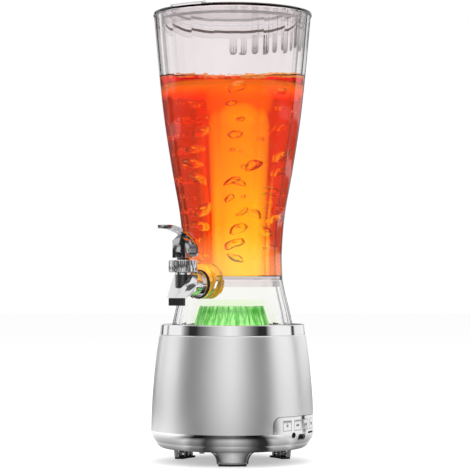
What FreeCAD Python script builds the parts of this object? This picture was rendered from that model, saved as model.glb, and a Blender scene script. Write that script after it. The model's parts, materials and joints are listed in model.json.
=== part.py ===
import FreeCAD, Part
import math
import os
import re

import Sketcher

V = FreeCAD.Vector

# A drink tower: a clear faceted column with a lever tap stands on a round loudspeaker base
# with a light under the column.  Millimetres, +Z up.  The origin is on the floor, on the
# column's axis, and -Y is the front.  Angles are in degrees, turning from +X towards +Y.

DOC = FreeCAD.newDocument("DrinkTower")
SHEET = DOC.addObject("Spreadsheet::Sheet", "Sizes")

# Driving sizes: alias, value, what it is.
SIZES = [
    # legs and plinth
    ("foot_pad_rise", 2.0, "rubber pad under a leg"),
    ("leg_rise", 12.0, "leg above its pad"),
    ("leg_inset", 19.2, "outer face of a leg inside the plinth's widest"),
    ("leg_depth", 10.5, "leg from outer to inner face"),
    ("leg_skin", 3.2, "outer skin of a leg"),
    ("leg_top_width", 41.0, "leg across at the plinth"),
    ("leg_foot_width", 30.5, "leg across at its pad"),
    ("leg_rib", 2.4, "rib inside a leg"),
    ("leg_pocket", 4.4, "pocket between two ribs"),
    ("leg_edge", 1.2, "rounding of a leg's outer edges"),
    ("plinth_rise", 17.5, "plinth from its underside to the shell"),
    ("plinth_step", 0.2, "plinth outside the shell at their seam"),
    ("plinth_foot_inset", 12.7, "plinth's underside inside its widest"),
    ("plinth_rim", 8.5, "flat ring round the hole in the plinth's floor"),
    ("plinth_floor", 2.5, "plinth floor"),
    ("plinth_wall", 3.2, "plinth wall"),
    ("lip_rise", 6.4, "rolled lip at the bottom of the plinth"),
    ("lip_inset", 5.0, "rolled lip inside the plinth's widest"),
    ("lip_bow_inset", 6.8, "rolled lip half way down, inside the plinth's widest"),
    ("lip_step", 0.6, "step above the rolled lip"),
    ("plinth_bow_inset", 1.0, "plinth half way up, inside its widest"),
    ("spigot_rise", 4.5, "ring of the plinth that stands inside the shell"),
    ("spigot_wall", 2.0, "thickness of that ring"),
    ("slip_gap", 0.3, "gap between parts that are only laid together"),
    # control panel
    ("panel_azimuth", -33.5, "direction of the control panel"),
    ("panel_half_angle", 27.5, "half of the panel's sweep"),
    ("panel_rise", 16.2, "panel above the plinth"),
    ("panel_corner", 9.0, "rounding of the panel's upper corners"),
    ("button_pitch", 10.5, "angle from one button to the next"),
    ("button_width", 10.6, "button across"),
    ("button_height", 9.8, "button up and down"),
    ("button_rise", 7.8, "middle of the buttons above the plinth"),
    ("button_gap", 0.2, "gap round a button"),
    ("button_travel", 0.8, "how far a button goes in"),
    ("button_flange", 0.8, "flange round the back of a button"),
    ("button_flange_depth", 1.4, "depth of that flange"),
    ("button_round", 0.5, "rounding of a button's front"),
    ("jack_offset", -13.4, "audio socket from the panel's middle"),
    ("jack_drop", 1.8, "audio socket below the shell seam"),
    ("jack_bore", 1.75, "radius of the audio socket's hole"),
    ("jack_barrel", 2.6, "radius of the audio socket's barrel"),
    ("jack_depth", 14.0, "length of the audio socket's hole"),
    ("jack_chamber", 1.2, "wider end of that hole, where the tip's contact sits"),
    ("usb_offset", 0.5, "data socket from the panel's middle"),
    ("usb_drop", 4.1, "data socket below the shell seam"),
    ("usb_width", 12.6, "data socket across"),
    ("usb_height", 5.6, "data socket up and down"),
    ("usb_skin", 0.4, "sheet metal of the data socket"),
    ("usb_inset", 2.6, "mouth of the data socket behind the panel's face"),
    ("usb_depth", 13.0, "length of the data socket"),
    ("slot_offset", 20.0, "card slot from the panel's middle"),
    ("slot_drop", 0.6, "card slot below the shell seam"),
    ("slot_width", 14.0, "card slot across"),
    ("slot_height", 1.8, "card slot up and down"),
    ("reader_inset", 11.0, "mouth of the card reader behind the panel's face"),
    ("reader_depth", 12.0, "length of the card reader"),
    ("reader_wall", 0.8, "wall of the card reader"),
    # shell and collar
    ("shell_rise", 94.5, "shell from the plinth to the collar"),
    ("shell_radius", 81.0, "shell at the plinth"),
    ("shell_belly_inset", 2.4, "shell half way up, inside its foot"),
    ("shell_neck_inset", 8.0, "shell under its top edge, inside its foot"),
    ("shell_edge", 1.6, "rounding of the shell's top edge"),
    ("shell_wall", 2.5, "shell wall"),
    ("shell_hole", 50.0, "hole in the top of the shell"),
    ("collar_rise", 10.0, "collar ring"),
    ("collar_inset", 1.0, "collar ring inside the shell's top"),
    ("collar_lean", 0.8, "how far the collar leans in"),
    ("collar_foot_wall", 6.0, "foot of the collar ring on the shell"),
    ("collar_edge", 0.8, "rounding of the collar's top edge"),
    ("collar_seat", 4.0, "seat of the column below the collar's top"),
    ("collar_seat_thick", 2.5, "ledge that the column stands on"),
    # light
    ("deck_thick", 2.5, "wall of the light deck"),
    ("deck_drop", 2.0, "light deck below the collar's top"),
    ("board_thick", 1.6, "circuit board"),
    ("led_board_radius", 34.0, "round board of the lights"),
    ("led_ring_radius", 27.0, "circle of the lights"),
    ("led_count", 12.0, "number of lights"),
    ("led_size", 5.0, "one light across"),
    ("led_height", 1.5, "one light's height"),
    ("lens_foot_radius", 38.5, "lens at its foot"),
    ("lens_top_radius", 31.0, "lens at its top"),
    ("lens_rise", 20.0, "height of the lens"),
    ("lens_wall", 3.2, "wall of the lens"),
    ("flute_count", 18.0, "flutes round the lens"),
    ("flute_radius", 3.4, "radius of a flute"),
    # column
    ("side_count", 20.0, "flat sides round the column"),
    ("skirt_rise", 44.0, "skirt above the collar"),
    ("skirt_foot_radius", 60.2, "skirt corners at the collar"),
    ("skirt_low_radius", 57.2, "skirt corners a third of the way up"),
    ("skirt_low_rise", 14.0, "height of those corners above the collar"),
    ("skirt_high_radius", 53.1, "skirt corners two thirds of the way up"),
    ("skirt_high_rise", 30.0, "height of those corners above the collar"),
    ("skirt_wall", 3.0, "skirt wall"),
    ("seam_gap", 0.3, "visible joint between skirt and vessel"),
    ("plug_rise", 7.0, "ring of the vessel that plugs into the skirt"),
    ("plug_wall", 2.4, "thickness of that ring"),
    ("vessel_rise", 264.0, "vessel from its underside to the rim"),
    ("vessel_floor", 3.5, "vessel floor"),
    ("vessel_wall", 2.6, "vessel wall at the middle of a flat"),
    ("joint_radius", 50.2, "vessel corners at the skirt"),
    ("waist_radius", 49.5, "vessel corners at the waist"),
    ("waist_rise", 25.0, "waist above the vessel's underside"),
    ("hip_radius", 52.5, "vessel corners at the hip"),
    ("hip_rise", 64.0, "hip above the vessel's underside"),
    ("belly_radius", 60.6, "vessel corners at the belly"),
    ("belly_rise", 110.0, "belly above the vessel's underside"),
    ("shoulder_inset", 10.6, "vessel corners at the shoulder, inside the rim's"),
    ("shoulder_rise", 160.0, "shoulder above the vessel's underside"),
    ("neck_inset", 5.2, "vessel corners at the fill line, inside the rim's"),
    ("neck_rise", 208.0, "fill line above the vessel's underside"),
    ("rim_radius", 79.0, "vessel corners at the rim"),
    # tap well
    ("tap_azimuth", 230.0, "direction of the tap"),
    ("well_rise", 43.0, "middle of the tap well above the collar"),
    ("well_radius", 17.8, "outside of the tap well"),
    ("well_wall", 3.4, "wall of the tap well"),
    ("well_face_reach", 50.7, "front face of the tap well from the axis"),
    ("well_depth", 17.0, "tap well from front to back"),
    ("well_front_wall", 4.0, "front wall of the tap well"),
    ("well_back_wall", 2.6, "back wall of the tap well"),
    # tap
    ("tap_drop", 3.0, "shank below the middle of the well"),
    ("valve_reach", 74.5, "valve axis from the column's axis"),
    ("shank_radius", 8.0, "threaded shank"),
    ("shank_bore", 4.8, "bore of the shank"),
    ("shank_tail", 12.4, "shank behind the well's front face"),
    ("shank_gap", 0.3, "gap round the shank in the well"),
    ("washer_thick", 1.6, "outer washer"),
    ("washer_radius", 14.2, "outer washer radius"),
    ("inner_washer_radius", 11.0, "inner washer radius"),
    ("flange_thick", 2.4, "flange of the tap"),
    ("flange_radius", 13.2, "flange radius"),
    ("sleeve_radius", 11.2, "round sleeve behind the valve"),
    ("nut_across", 19.0, "lock nut across its flats"),
    ("nut_thick", 4.6, "lock nut"),
    ("chamber_radius", 7.3, "valve chamber"),
    ("chamber_bore", 5.6, "bore of the valve chamber"),
    ("chamber_floor", -6.0, "valve seat from the shank's axis"),
    ("chamber_top", 9.2, "top of the chamber from the shank's axis"),
    ("tap_neck_radius", 8.2, "neck that the cap screws on"),
    ("tap_neck_rise", 6.8, "neck above the chamber"),
    ("spout_top_width", 25.6, "spout block across at the top"),
    ("spout_foot_width", 18.0, "spout block across at the outlet"),
    ("spout_back", -7.3, "back of the spout block from the valve axis"),
    ("spout_brow", -0.8, "top front edge of the spout block"),
    ("spout_heel", -6.8, "where the back of the block turns forward"),
    ("spout_foot", -13.5, "foot of the spout block from the shank's axis"),
    ("outlet_back", 4.8, "back of the outlet from the valve axis"),
    ("outlet_front", 13.0, "front of the outlet from the valve axis"),
    ("outlet_rise", 7.4, "outlet nozzle height"),
    ("outlet_bore", 2.8, "radius of the outlet's bore"),
    ("outlet_chamfer", 2.0, "cut corners of the outlet"),
    ("cap_foot", 14.0, "foot of the cap from the shank's axis"),
    ("cap_top", 23.3, "top of the cap from the shank's axis"),
    ("cap_radius", 11.4, "cap between its lugs"),
    ("cap_wall", 3.0, "top wall of the cap"),
    ("cap_edge", 0.8, "bevel round the top of the cap"),
    ("cap_bore", 6.4, "space in the cap over the neck"),
    ("lug_radius", 13.8, "cap over its lugs"),
    ("lug_width", 6.2, "one lug across"),
    ("lug_drop", 2.6, "lugs below the cap's foot"),
    ("lug_count", 8.0, "lugs round the cap"),
    ("thread_gap", 0.15, "radial gap in screwed and pushed joints"),
    ("cap_washer_radius", 5.8, "black washer on the cap"),
    ("cap_washer_thick", 1.8, "that washer's thickness"),
    ("stem_radius", 2.4, "valve stem"),
    ("stem_gap", 0.1, "running gap round the stem"),
    ("stem_collar_radius", 5.0, "collar that the spring bears on"),
    ("stem_collar_thick", 1.6, "that collar's thickness"),
    ("stem_collar_height", 4.0, "that collar from the shank's axis"),
    ("plug_radius", 5.2, "seat plug"),
    ("plug_length", 5.2, "seat plug length"),
    ("spring_radius", 4.0, "valve spring, middle of the wire"),
    ("spring_wire", 0.45, "radius of the spring wire"),
    ("spring_turns", 5.0, "turns of the valve spring"),
    ("pin_height", 32.0, "lever pin from the shank's axis"),
    ("pin_radius", 1.45, "lever pin"),
    ("pin_fit", 0.05, "running gap round the lever pin"),
    ("eye_radius", 3.6, "eye at the top of the stem"),
    ("eye_width", 5.6, "that eye along the pin"),
    ("lever_gap", 0.3, "gap beside and under the lever"),
    ("lever_head_width", 17.0, "lever head across"),
    ("lever_head_depth", 12.0, "lever head front to back"),
    ("lever_shoulder", 42.2, "shoulders of the head from the shank's axis"),
    ("lever_apex", 47.9, "peak of the head from the shank's axis"),
    ("lever_front_wall", 2.0, "wall in front of the stem's eye"),
    ("paddle_thick", 2.2, "paddle thickness"),
    ("paddle_width", 24.0, "paddle across at its foot"),
    ("paddle_tip_width", 10.8, "paddle across at its tip"),
    ("paddle_foot", 27.0, "foot of the paddle from the shank's axis"),
    ("paddle_bend", 36.0, "where the paddle starts to lean"),
    ("paddle_top", 53.2, "underside of the finger grip"),
    ("paddle_reach", 30.5, "finger grip ahead of the valve axis"),
    ("paddle_knee", 8.0, "where the paddle levels out, ahead of the valve axis"),
    ("paddle_knee_drop", 3.0, "knee of the paddle below the finger grip"),
    ("grip_thick", 3.4, "thickness of the finger grip"),
    # lid
    ("lid_thick", 3.0, "lid flange"),
    ("lid_plate", 2.4, "lid plate"),
    ("lid_overhang", 0.3, "lid flange outside the rim"),
    ("lid_edge", 1.0, "rounding of the lid flange"),
    ("lid_plug_gap", 0.4, "gap round the foot of the lid's skirt"),
    ("lid_plug_wall", 2.0, "wall of the lid's skirt"),
    ("lid_plug_drop", 12.0, "lid's skirt below the rim"),
    ("seal_radius", 1.3, "section radius of the lid's seal"),
    ("seal_drop", 5.5, "seal below the rim"),
    ("seal_depth", 1.9, "how deep the seal's groove is"),
    ("tab_azimuth", 234.5, "direction of the thumb tab"),
    ("tab_half_angle", 13.5, "half of the tab's sweep"),
    ("tab_rise", 1.3, "tab above the lid"),
    ("tab_depth", 9.0, "tab from outside to inside"),
    ("tab_overhang", 1.0, "tab outside the flange"),
    ("finger_azimuth", 14.0, "direction of the first finger"),
    ("finger_count", 5.0, "fingers that guide the lid"),
    ("finger_width", 12.0, "one finger across"),
    ("finger_thick", 2.0, "one finger's thickness"),
    ("finger_drop", 29.5, "fingers below the rim"),
    ("finger_slit", 0.8, "slit in a finger"),
    ("finger_slit_pitch", 3.0, "from one slit to the next"),
    ("finger_slit_top", 7.0, "top of the slits below the rim"),
    ("finger_round", 4.5, "rounding of a finger's end"),
    # inside the base
    ("cover_lap", 7.0, "bottom cover over the plinth's floor"),
    ("cover_thick", 2.4, "bottom cover thickness"),
    ("grille_inset", 10.0, "outermost row of grille holes inside the loudspeaker"),
    ("grille_hole", 2.2, "radius of a grille hole"),
    ("grille_pitch", 7.6, "from one row of holes to the next"),
    ("cover_screw_inset", 4.0, "cover screws inside the cover's edge"),
    ("cover_screw_azimuth", 2.0, "direction of the first cover screw"),
    ("screw_radius", 1.45, "screw thread"),
    ("screw_gap", 0.1, "gap round a screw"),
    ("screw_head_radius", 2.8, "screw head"),
    ("screw_head_rise", 1.7, "screw head height"),
    ("cover_screw_length", 8.0, "cover screw under its head"),
    ("board_screw_length", 6.0, "board screw under its head"),
    ("screw_boss_radius", 3.0, "boss for a screw"),
    ("screw_boss_rise", 5.0, "boss of the cover screws"),
    ("post_inset", 5.0, "main board posts inside the board's edges"),
    ("post_radius", 3.2, "main board post"),
    ("post_rise", 42.0, "main board post height"),
    ("board_length", 92.0, "main board sideways"),
    ("board_width", 74.0, "main board front to back"),
    ("speaker_gap", 5.2, "loudspeaker from the battery tray"),
    ("speaker_flange", 2.0, "loudspeaker frame flange"),
    ("surround_inset", 6.5, "middle of the loudspeaker's surround inside its frame"),
    ("surround_half", 2.6, "half of the surround's roll"),
    ("cone_neck_radius", 10.5, "inner edge of the loudspeaker cone"),
    ("cone_rise", 14.0, "depth of the loudspeaker cone"),
    ("cone_thick", 0.8, "loudspeaker cone thickness"),
    ("dome_rise", 4.6, "dust cap below the cone's neck"),
    ("basket_taper", 17.0, "loudspeaker frame at the magnet, inside its foot"),
    ("basket_rise", 20.0, "loudspeaker frame height"),
    ("basket_wall", 1.2, "loudspeaker frame wall"),
    ("magnet_inset", 2.0, "loudspeaker magnet inside the frame's top"),
    ("magnet_rise", 8.0, "loudspeaker magnet height"),
    ("yoke_plate", 3.0, "back plate of the magnet"),
    ("pole_radius", 8.4, "pole piece"),
    ("coil_radius", 9.2, "voice coil former"),
    ("coil_wall", 0.5, "voice coil former wall"),
    ("coil_rise", 8.0, "voice coil former length"),
    ("cell_radius", 9.2, "battery cell"),
    ("cell_length", 50.0, "battery cell length"),
    ("cell_gap", 0.05, "gap round a battery cell, up and down"),
    ("cell_inset", 24.2, "battery cells behind the plinth's widest"),
    ("cell_azimuth", 180.0, "direction of the battery"),
    ("tray_wall", 1.6, "battery tray wall"),
    ("strip_depth", 10.8, "button board's outer face behind the panel's face"),
    ("switch_size", 6.0, "switch under a button"),
    ("switch_depth", 3.4, "depth of that switch"),
    ("rib_width", 2.4, "ribs that hold the button board"),
    ("rib_inset", 2.0, "those ribs inside the panel's edges, as an angle"),
    ("strip_inset", 3.3, "ends of the button board inside the panel's edges, as an angle"),
    ("socket_board_inset", 24.7, "inner edge of the socket board behind the panel's face"),
    ("socket_board_depth", 12.0, "socket board front to back"),
    ("socket_board_width", 56.0, "socket board across"),
    ("socket_post_inset", 20.7, "posts under the socket board behind the panel's face"),
    ("socket_post_offset", 16.0, "those posts from the panel's middle"),
    ("socket_board_drop", 7.3, "socket board below the shell seam"),
    ("socket_post_radius", 3.0, "post under the socket board"),
    ("header_rise", 5.0, "plug sockets on the main board"),
    ("lead_radius", 1.1, "internal lead"),
]

for row, (alias, value, note) in enumerate(SIZES, 1):
    SHEET.set(f"A{row}", note)
    SHEET.set(f"B{row}", str(value))
    SHEET.setAlias(f"B{row}", alias)
DOC.recompute()

# Places that follow from the driving sizes.
PLACES = {
    "post_y": "board_width / 2 - post_inset",
    "post_x": "board_length / 2 - post_inset",
    "plinth_radius": "shell_radius + plinth_step",
    "plinth_foot_radius": "plinth_radius - plinth_foot_inset",
    "plinth_bore": "plinth_foot_radius - plinth_rim",
    "lip_radius": "plinth_radius - lip_inset",
    "lip_bow": "plinth_radius - lip_bow_inset",
    "plinth_bow": "plinth_radius - plinth_bow_inset",
    "leg_outer_radius": "plinth_radius - leg_inset",
    "usb_face": "plinth_radius - usb_inset",
    "reader_face": "plinth_radius - reader_inset",
    "strip_reach": "plinth_radius - strip_depth",
    "socket_board_reach": "plinth_radius - socket_board_inset",
    "socket_post_reach": "plinth_radius - socket_post_inset",
    "shell_belly_radius": "shell_radius - shell_belly_inset",
    "shell_neck_radius": "shell_radius - shell_neck_inset",
    "collar_radius": "shell_neck_radius - collar_inset",
    "shoulder_radius": "rim_radius - shoulder_inset",
    "neck_radius": "rim_radius - neck_inset",
    "cover_radius": "plinth_bore + cover_lap",
    "cover_screw_reach": "cover_radius - cover_screw_inset",
    "cell_reach": "plinth_radius - cell_inset",
    "speaker_radius": "cell_reach - cell_radius - tray_wall - speaker_gap",
    "surround_radius": "speaker_radius - surround_inset",
    "basket_top_radius": "speaker_radius - basket_taper",
    "magnet_radius": "basket_top_radius - magnet_inset",
    "grille_radius": "speaker_radius - grille_inset",
    "plinth_under": "foot_pad_rise + leg_rise",
    "plinth_top": "plinth_under + plinth_rise",
    "shell_top": "plinth_top + shell_rise",
    "collar_top": "shell_top + collar_rise",
    "seat_height": "collar_top - collar_seat",
    "deck_top": "collar_top - deck_drop",
    "cover_under": "plinth_under + plinth_floor",
    "cover_top": "cover_under + cover_thick",
    "panel_inner": "plinth_radius - plinth_wall",
    "lip_top": "plinth_under + lip_rise",
    "button_middle": "plinth_top + button_rise",
    "flat_share": "cos(180 / side_count)",
    "foot_radius": "skirt_foot_radius * flat_share - slip_gap",
    "foot_inner": "foot_radius - skirt_wall",
    "ledge_radius": "foot_inner - slip_gap",
    "vessel_under": "collar_top + skirt_rise",
    "vessel_inside": "vessel_under + vessel_floor",
    "rim_top": "vessel_under + vessel_rise",
    "rim_bore": "rim_radius * flat_share - vessel_wall",
    "lid_top": "rim_top + lid_thick",
    "lid_radius": "rim_radius + lid_overhang",
    "rim_taper": "(rim_radius - neck_radius) * flat_share / (vessel_rise - neck_rise)",
    "lid_plug": "rim_bore - rim_taper * lid_plug_drop - lid_plug_gap",
    "well_height": "collar_top + well_rise",
    "well_back": "well_face_reach - well_depth",
    "tap_height": "well_height - tap_drop",
    "washer_face": "well_face_reach - valve_reach",
    "flange_face": "washer_face + washer_thick",
    "well_inner_face": "washer_face - well_front_wall",
    "shank_end": "washer_face - shank_tail",
    "spigot_radius": "shell_radius - shell_wall - 2 * slip_gap",
    "spout_middle": "(outlet_back + outlet_front) / 2",
    "outlet_foot": "spout_foot - outlet_rise",
    "cap_ceiling": "cap_top - cap_wall",
    "neck_top": "chamber_top + tap_neck_rise",
    "cap_washer_top": "cap_top + cap_washer_thick",
    "lever_foot": "cap_washer_top + lever_gap",
    "spring_foot": "stem_collar_height + stem_collar_thick",
    "basket_foot": "cover_top + speaker_flange",
    "basket_top": "cover_top + basket_rise",
    "cone_top": "basket_foot + cone_rise",
    "magnet_foot": "basket_top + basket_wall",
    "magnet_top": "magnet_foot + magnet_rise",
    "board_foot": "cover_top + post_rise",
    "board_top": "board_foot + board_thick",
    "socket_board_top": "plinth_top - socket_board_drop",
    "socket_board_foot": "socket_board_top - board_thick",
    "jack_height": "plinth_top - jack_drop",
    "usb_middle": "plinth_top - usb_drop",
    "slot_middle": "plinth_top - slot_drop",
    "tray_foot": "cover_top",
    "tray_top": "cover_top + tray_wall",
    "socket_front": "socket_board_reach + socket_board_depth",
    "cap_back": "panel_inner - slip_gap - button_flange_depth",
}
ALIASES = {alias for alias, _, _ in SIZES}
NODES = {}


def formula(text):
    """A size in words as an expression on the sheet."""
    def swap(match):
        word = match.group(0)
        if word in PLACES:
            return "(" + formula(PLACES[word]) + ")"
        return "Sizes." + word if word in ALIASES else word
    return re.sub(r"[a-z][a-z_]+", swap, str(text))


def size(text):
    """A size in words as a number."""
    value = SHEET.evalExpression(formula(text))
    return float(getattr(value, "Value", value))


def bind(thing, name, text):
    thing.setExpression(name, formula(text))


def place(thing, x="0", y="0", z="0", turn="0"):
    """Put a thing at x, y, z of a frame that is turned about the column's axis."""
    bind(thing, "Placement.Rotation.Angle", turn)
    bind(thing, "Placement.Base.x", f"({x}) * cos({turn}) - ({y}) * sin({turn})")
    bind(thing, "Placement.Base.y", f"({x}) * sin({turn}) + ({y}) * cos({turn})")
    bind(thing, "Placement.Base.z", z)
    return thing


def node(label, thing):
    """Name a finished sub-part."""
    thing.Label = label
    NODES[label] = thing
    return thing


# ---- sketches and features -------------------------------------------------------------

def new_body(name):
    return DOC.addObject("PartDesign::Body", name)


def new_sketch(body, role, lift="0"):
    """A sketch on one of the body's own planes, moved along that plane's normal."""
    sketch = body.newObject("Sketcher::SketchObject", body.Name + "_sketch")
    sketch.AttachmentSupport = (next(f for f in body.Origin.OriginFeatures if f.Role == role), [""])
    sketch.MapMode = "FlatFace"
    bind(sketch, "AttachmentOffset.Base.z", lift)
    return sketch


def pin_point(sketch, index, end, x, y):
    """Hold one point of the sketch at x, y."""
    for kind, text in (("DistanceX", x), ("DistanceY", y)):
        held = Sketcher.Constraint(kind, -1, 1, index, end, size(text))
        number = sketch.addConstraint(held)
        bind(sketch, f"Constraints[{number}]", text)


def arc_through(start, middle, end):
    """The arc through three points, and whether it runs backwards from end to start."""
    circle = Part.Circle(start, middle, end)
    centre = circle.Center
    backwards = (middle - start).cross(end - middle).z < 0
    first, last = (end, start) if backwards else (start, end)
    angles = [math.atan2(p.y - centre.y, p.x - centre.x) for p in (first, last)]
    flat = Part.Circle(centre, V(0, 0, 1), circle.Radius)
    return Part.ArcOfCircle(flat, angles[0], angles[1]), backwards


def outline(sketch, points):
    """A closed outline.  A point is (x, y), or (mid x, mid y, x, y) where an arc leads to it."""
    ends = [V(size(p[-2]), size(p[-1]), 0) for p in points]
    joints = []
    for i, point in enumerate(points):
        start, end = ends[i - 1], ends[i]
        if len(point) == 4:
            middle = V(size(point[0]), size(point[1]), 0)
            arc, backwards = arc_through(start, middle, end)
            index = sketch.addGeometry(arc, False)
            mark = sketch.addGeometry(Part.Point(middle), True)
            sketch.addConstraint(Sketcher.Constraint("PointOnObject", mark, 1, index))
            pin_point(sketch, mark, 1, point[0], point[1])
            joints.append((index, 2, 1) if backwards else (index, 1, 2))
        else:
            index = sketch.addGeometry(Part.LineSegment(start, end), False)
            joints.append((index, 1, 2))
    for i, point in enumerate(points):
        here, after = joints[i], joints[(i + 1) % len(points)]
        sketch.addConstraint(Sketcher.Constraint("Coincident", here[0], here[2], after[0], after[1]))
        pin_point(sketch, here[0], here[2], point[-2], point[-1])


def circles(sketch, rounds):
    """Circles, each (x, y, radius)."""
    for x, y, radius in rounds:
        index = sketch.addGeometry(Part.Circle(V(size(x), size(y), 0), V(0, 0, 1), size(radius)), False)
        number = sketch.addConstraint(Sketcher.Constraint("Radius", index, size(radius)))
        bind(sketch, f"Constraints[{number}]", radius)
        pin_point(sketch, index, 3, x, y)


def rectangle(x, y, width, height):
    """The four corners of a rectangle about x, y."""
    return [(f"{x} - ({width}) / 2", f"{y} - ({height}) / 2"),
            (f"{x} + ({width}) / 2", f"{y} - ({height}) / 2"),
            (f"{x} + ({width}) / 2", f"{y} + ({height}) / 2"),
            (f"{x} - ({width}) / 2", f"{y} + ({height}) / 2")]


def draw(body, role, shape, lift="0"):
    """A sketch of an outline, or of circles where every entry has three numbers."""
    sketch = new_sketch(body, role, lift)
    if all(len(entry) == 3 for entry in shape):
        circles(sketch, shape)
    else:
        outline(sketch, shape)
    return sketch


def turn(body, shape, axis="V_Axis", sweep="360"):
    """Revolve an outline on the XZ plane, centred on that plane."""
    feature = body.newObject("PartDesign::Revolution", body.Name + "_turned")
    feature.Profile = draw(body, "XZ_Plane", shape)
    feature.ReferenceAxis = (feature.Profile[0], [axis])
    feature.Midplane = True
    bind(feature, "Angle", sweep)
    return feature


def groove(body, shape, axis="V_Axis"):
    feature = body.newObject("PartDesign::Groove", body.Name + "_groove")
    feature.Profile = draw(body, "XZ_Plane", shape)
    feature.ReferenceAxis = (feature.Profile[0], [axis])
    feature.Angle = 360
    return feature


def pad(body, role, shape, start, length):
    """Extrude an outline from start along the plane's normal."""
    feature = body.newObject("PartDesign::Pad", body.Name + "_pad")
    feature.Profile = draw(body, role, shape, start)
    bind(feature, "Length", length)
    return feature


def pocket(body, role, shape, start, length):
    """Cut an outline from start along the plane's normal."""
    feature = body.newObject("PartDesign::Pocket", body.Name + "_pocket")
    feature.Profile = draw(body, role, shape, start)
    feature.Reversed = True
    bind(feature, "Length", length)
    return feature


def around(body, features, count, angle="360"):
    """Repeat features about the body's upright axis."""
    pattern = body.newObject("PartDesign::PolarPattern", body.Name + "_pattern")
    pattern.Originals = features
    pattern.Axis = (next(f for f in body.Origin.OriginFeatures if f.Role == "Z_Axis"), [""])
    bind(pattern, "Angle", angle)
    bind(pattern, "Occurrences", count)
    body.Tip = pattern
    return pattern


def edges_where(feature, test):
    """Names of the edges whose middle point passes the test."""
    DOC.recompute()
    names = []
    for number, edge in enumerate(feature.Shape.Edges, 1):
        middle = edge.valueAt((edge.FirstParameter + edge.LastParameter) / 2)
        if test(middle, edge):
            names.append(f"Edge{number}")
    return names


def fillet(body, feature, radius, test):
    rounded = body.newObject("PartDesign::Fillet", body.Name + "_fillet")
    rounded.Base = (feature, edges_where(feature, test))
    bind(rounded, "Radius", radius)
    return rounded


def disc(name, radius, height, x="0", y="0", z="0", turned="0"):
    cylinder = DOC.addObject("Part::Cylinder", name)
    bind(cylinder, "Radius", radius)
    bind(cylinder, "Height", height)
    return place(cylinder, x, y, z, turned)


def block(name, length, width, height, x="0", y="0", z="0", turned="0"):
    """A box, length along x, with its near lower left corner at x, y, z."""
    box = DOC.addObject("Part::Box", name)
    bind(box, "Length", length)
    bind(box, "Width", width)
    bind(box, "Height", height)
    return place(box, x, y, z, turned)


def fuse(name, things):
    joined = DOC.addObject("Part::MultiFuse", name)
    joined.Shapes = things
    return joined


def cut(name, base, tools):
    """Base less all of the tools."""
    less = DOC.addObject("Part::Cut", name)
    less.Base = base
    less.Tool = tools[0] if len(tools) == 1 else fuse(name + "_tools", tools)
    return less


def group(name, things):
    """Like fasteners or fittings in one sub-part, each still a solid of its own."""
    compound = DOC.addObject("Part::Compound", name)
    compound.Links = things
    return compound


def shaped(name, shape):
    feature = DOC.addObject("Part::Feature", name)
    feature.Shape = shape
    return feature


# ---- legs and plinth -------------------------------------------------------------------

LEG_AZIMUTHS = {"leg_front": "270", "leg_rear_right": "30", "leg_rear_left": "150"}


def leg(label, azimuth):
    """A curved skin with three ribs behind it, narrower at the foot."""
    body = new_body(label)
    inner = "(leg_outer_radius - leg_depth)"
    ring = [(inner, "foot_pad_rise"), ("leg_outer_radius", "foot_pad_rise"),
            ("leg_outer_radius", "plinth_under"), (inner, "plinth_under")]
    skin = turn(body, ring, sweep="2 * asin(leg_top_width / 2 / leg_outer_radius)")
    for side in ("1", "-1"):
        slope = [(f"{side} * leg_foot_width / 2", "foot_pad_rise"),
                 (f"{side} * leg_top_width", "foot_pad_rise"),
                 (f"{side} * leg_top_width", "plinth_under"),
                 (f"{side} * leg_top_width / 2", "plinth_under")]
        skin = pocket(body, "YZ_Plane", slope, "0", "leg_outer_radius + leg_depth")
    for step in ("-1.5", "-0.5", "0.5", "1.5"):
        middle = f"{step} * (leg_pocket + leg_rib)"
        hollow = rectangle(middle, "(foot_pad_rise + plinth_under) / 2", "leg_pocket",
                           "leg_rise - 2 * leg_rib")
        skin = pocket(body, "YZ_Plane", hollow, "leg_outer_radius - leg_depth - leg_rib",
                      "leg_depth + leg_rib - leg_skin - leg_edge")
    reach = size("leg_outer_radius") - 1
    foot = size("foot_pad_rise") + 0.1
    top = size("plinth_under") - 0.1
    fillet(body, skin, "leg_edge", lambda p, e: math.hypot(p.x, p.y) > reach and foot < p.z < top)
    return node(label, place(body, turn=azimuth))


def foot_pads():
    """Rubber pads glued under the three legs."""
    pads = []
    for azimuth in LEG_AZIMUTHS.values():
        body = new_body("foot_pad")
        inner = "(leg_outer_radius - leg_depth + slip_gap)"
        outer = "(leg_outer_radius - leg_edge - slip_gap)"
        ring = [(inner, "0"), (outer, "0"), (outer, "foot_pad_rise"), (inner, "foot_pad_rise")]
        turn(body, ring, sweep="2 * asin((leg_foot_width / 2 - leg_edge) / leg_outer_radius)")
        pads.append(place(body, turn=azimuth))
    return node("foot_pads", group("foot_pads", pads))


def panel_sector(name, inner, outer, foot, head, spare="0"):
    """A sector of a ring over the control panel's sweep, with rounded upper corners."""
    body = new_body(name)
    ring = [(inner, foot), (outer, foot), (outer, head), (inner, head)]
    sector = turn(body, ring, sweep=f"2 * (panel_half_angle + {spare})")
    top, side = size(head), size(outer) * math.sin(math.radians(size("panel_half_angle"))) * 0.9
    fillet(body, sector, "panel_corner",
           lambda p, e: abs(p.y) > side and abs(p.z - top) < 0.01 and e.Length < size(outer) / 4)
    return place(body, turn="panel_azimuth")


def cover_screw_azimuths():
    return [f"cover_screw_azimuth + {index} * 120" for index in range(3)]


def button_azimuth(index):
    return f"panel_azimuth + ({index} - 1.5) * button_pitch"


def panel_block(name, width, height, depth, start, offset, middle):
    """A radial box through the control panel."""
    return block(name, depth, width, height, start, f"({offset}) - ({width}) / 2",
                 f"({middle}) - ({height}) / 2", "panel_azimuth")


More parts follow.
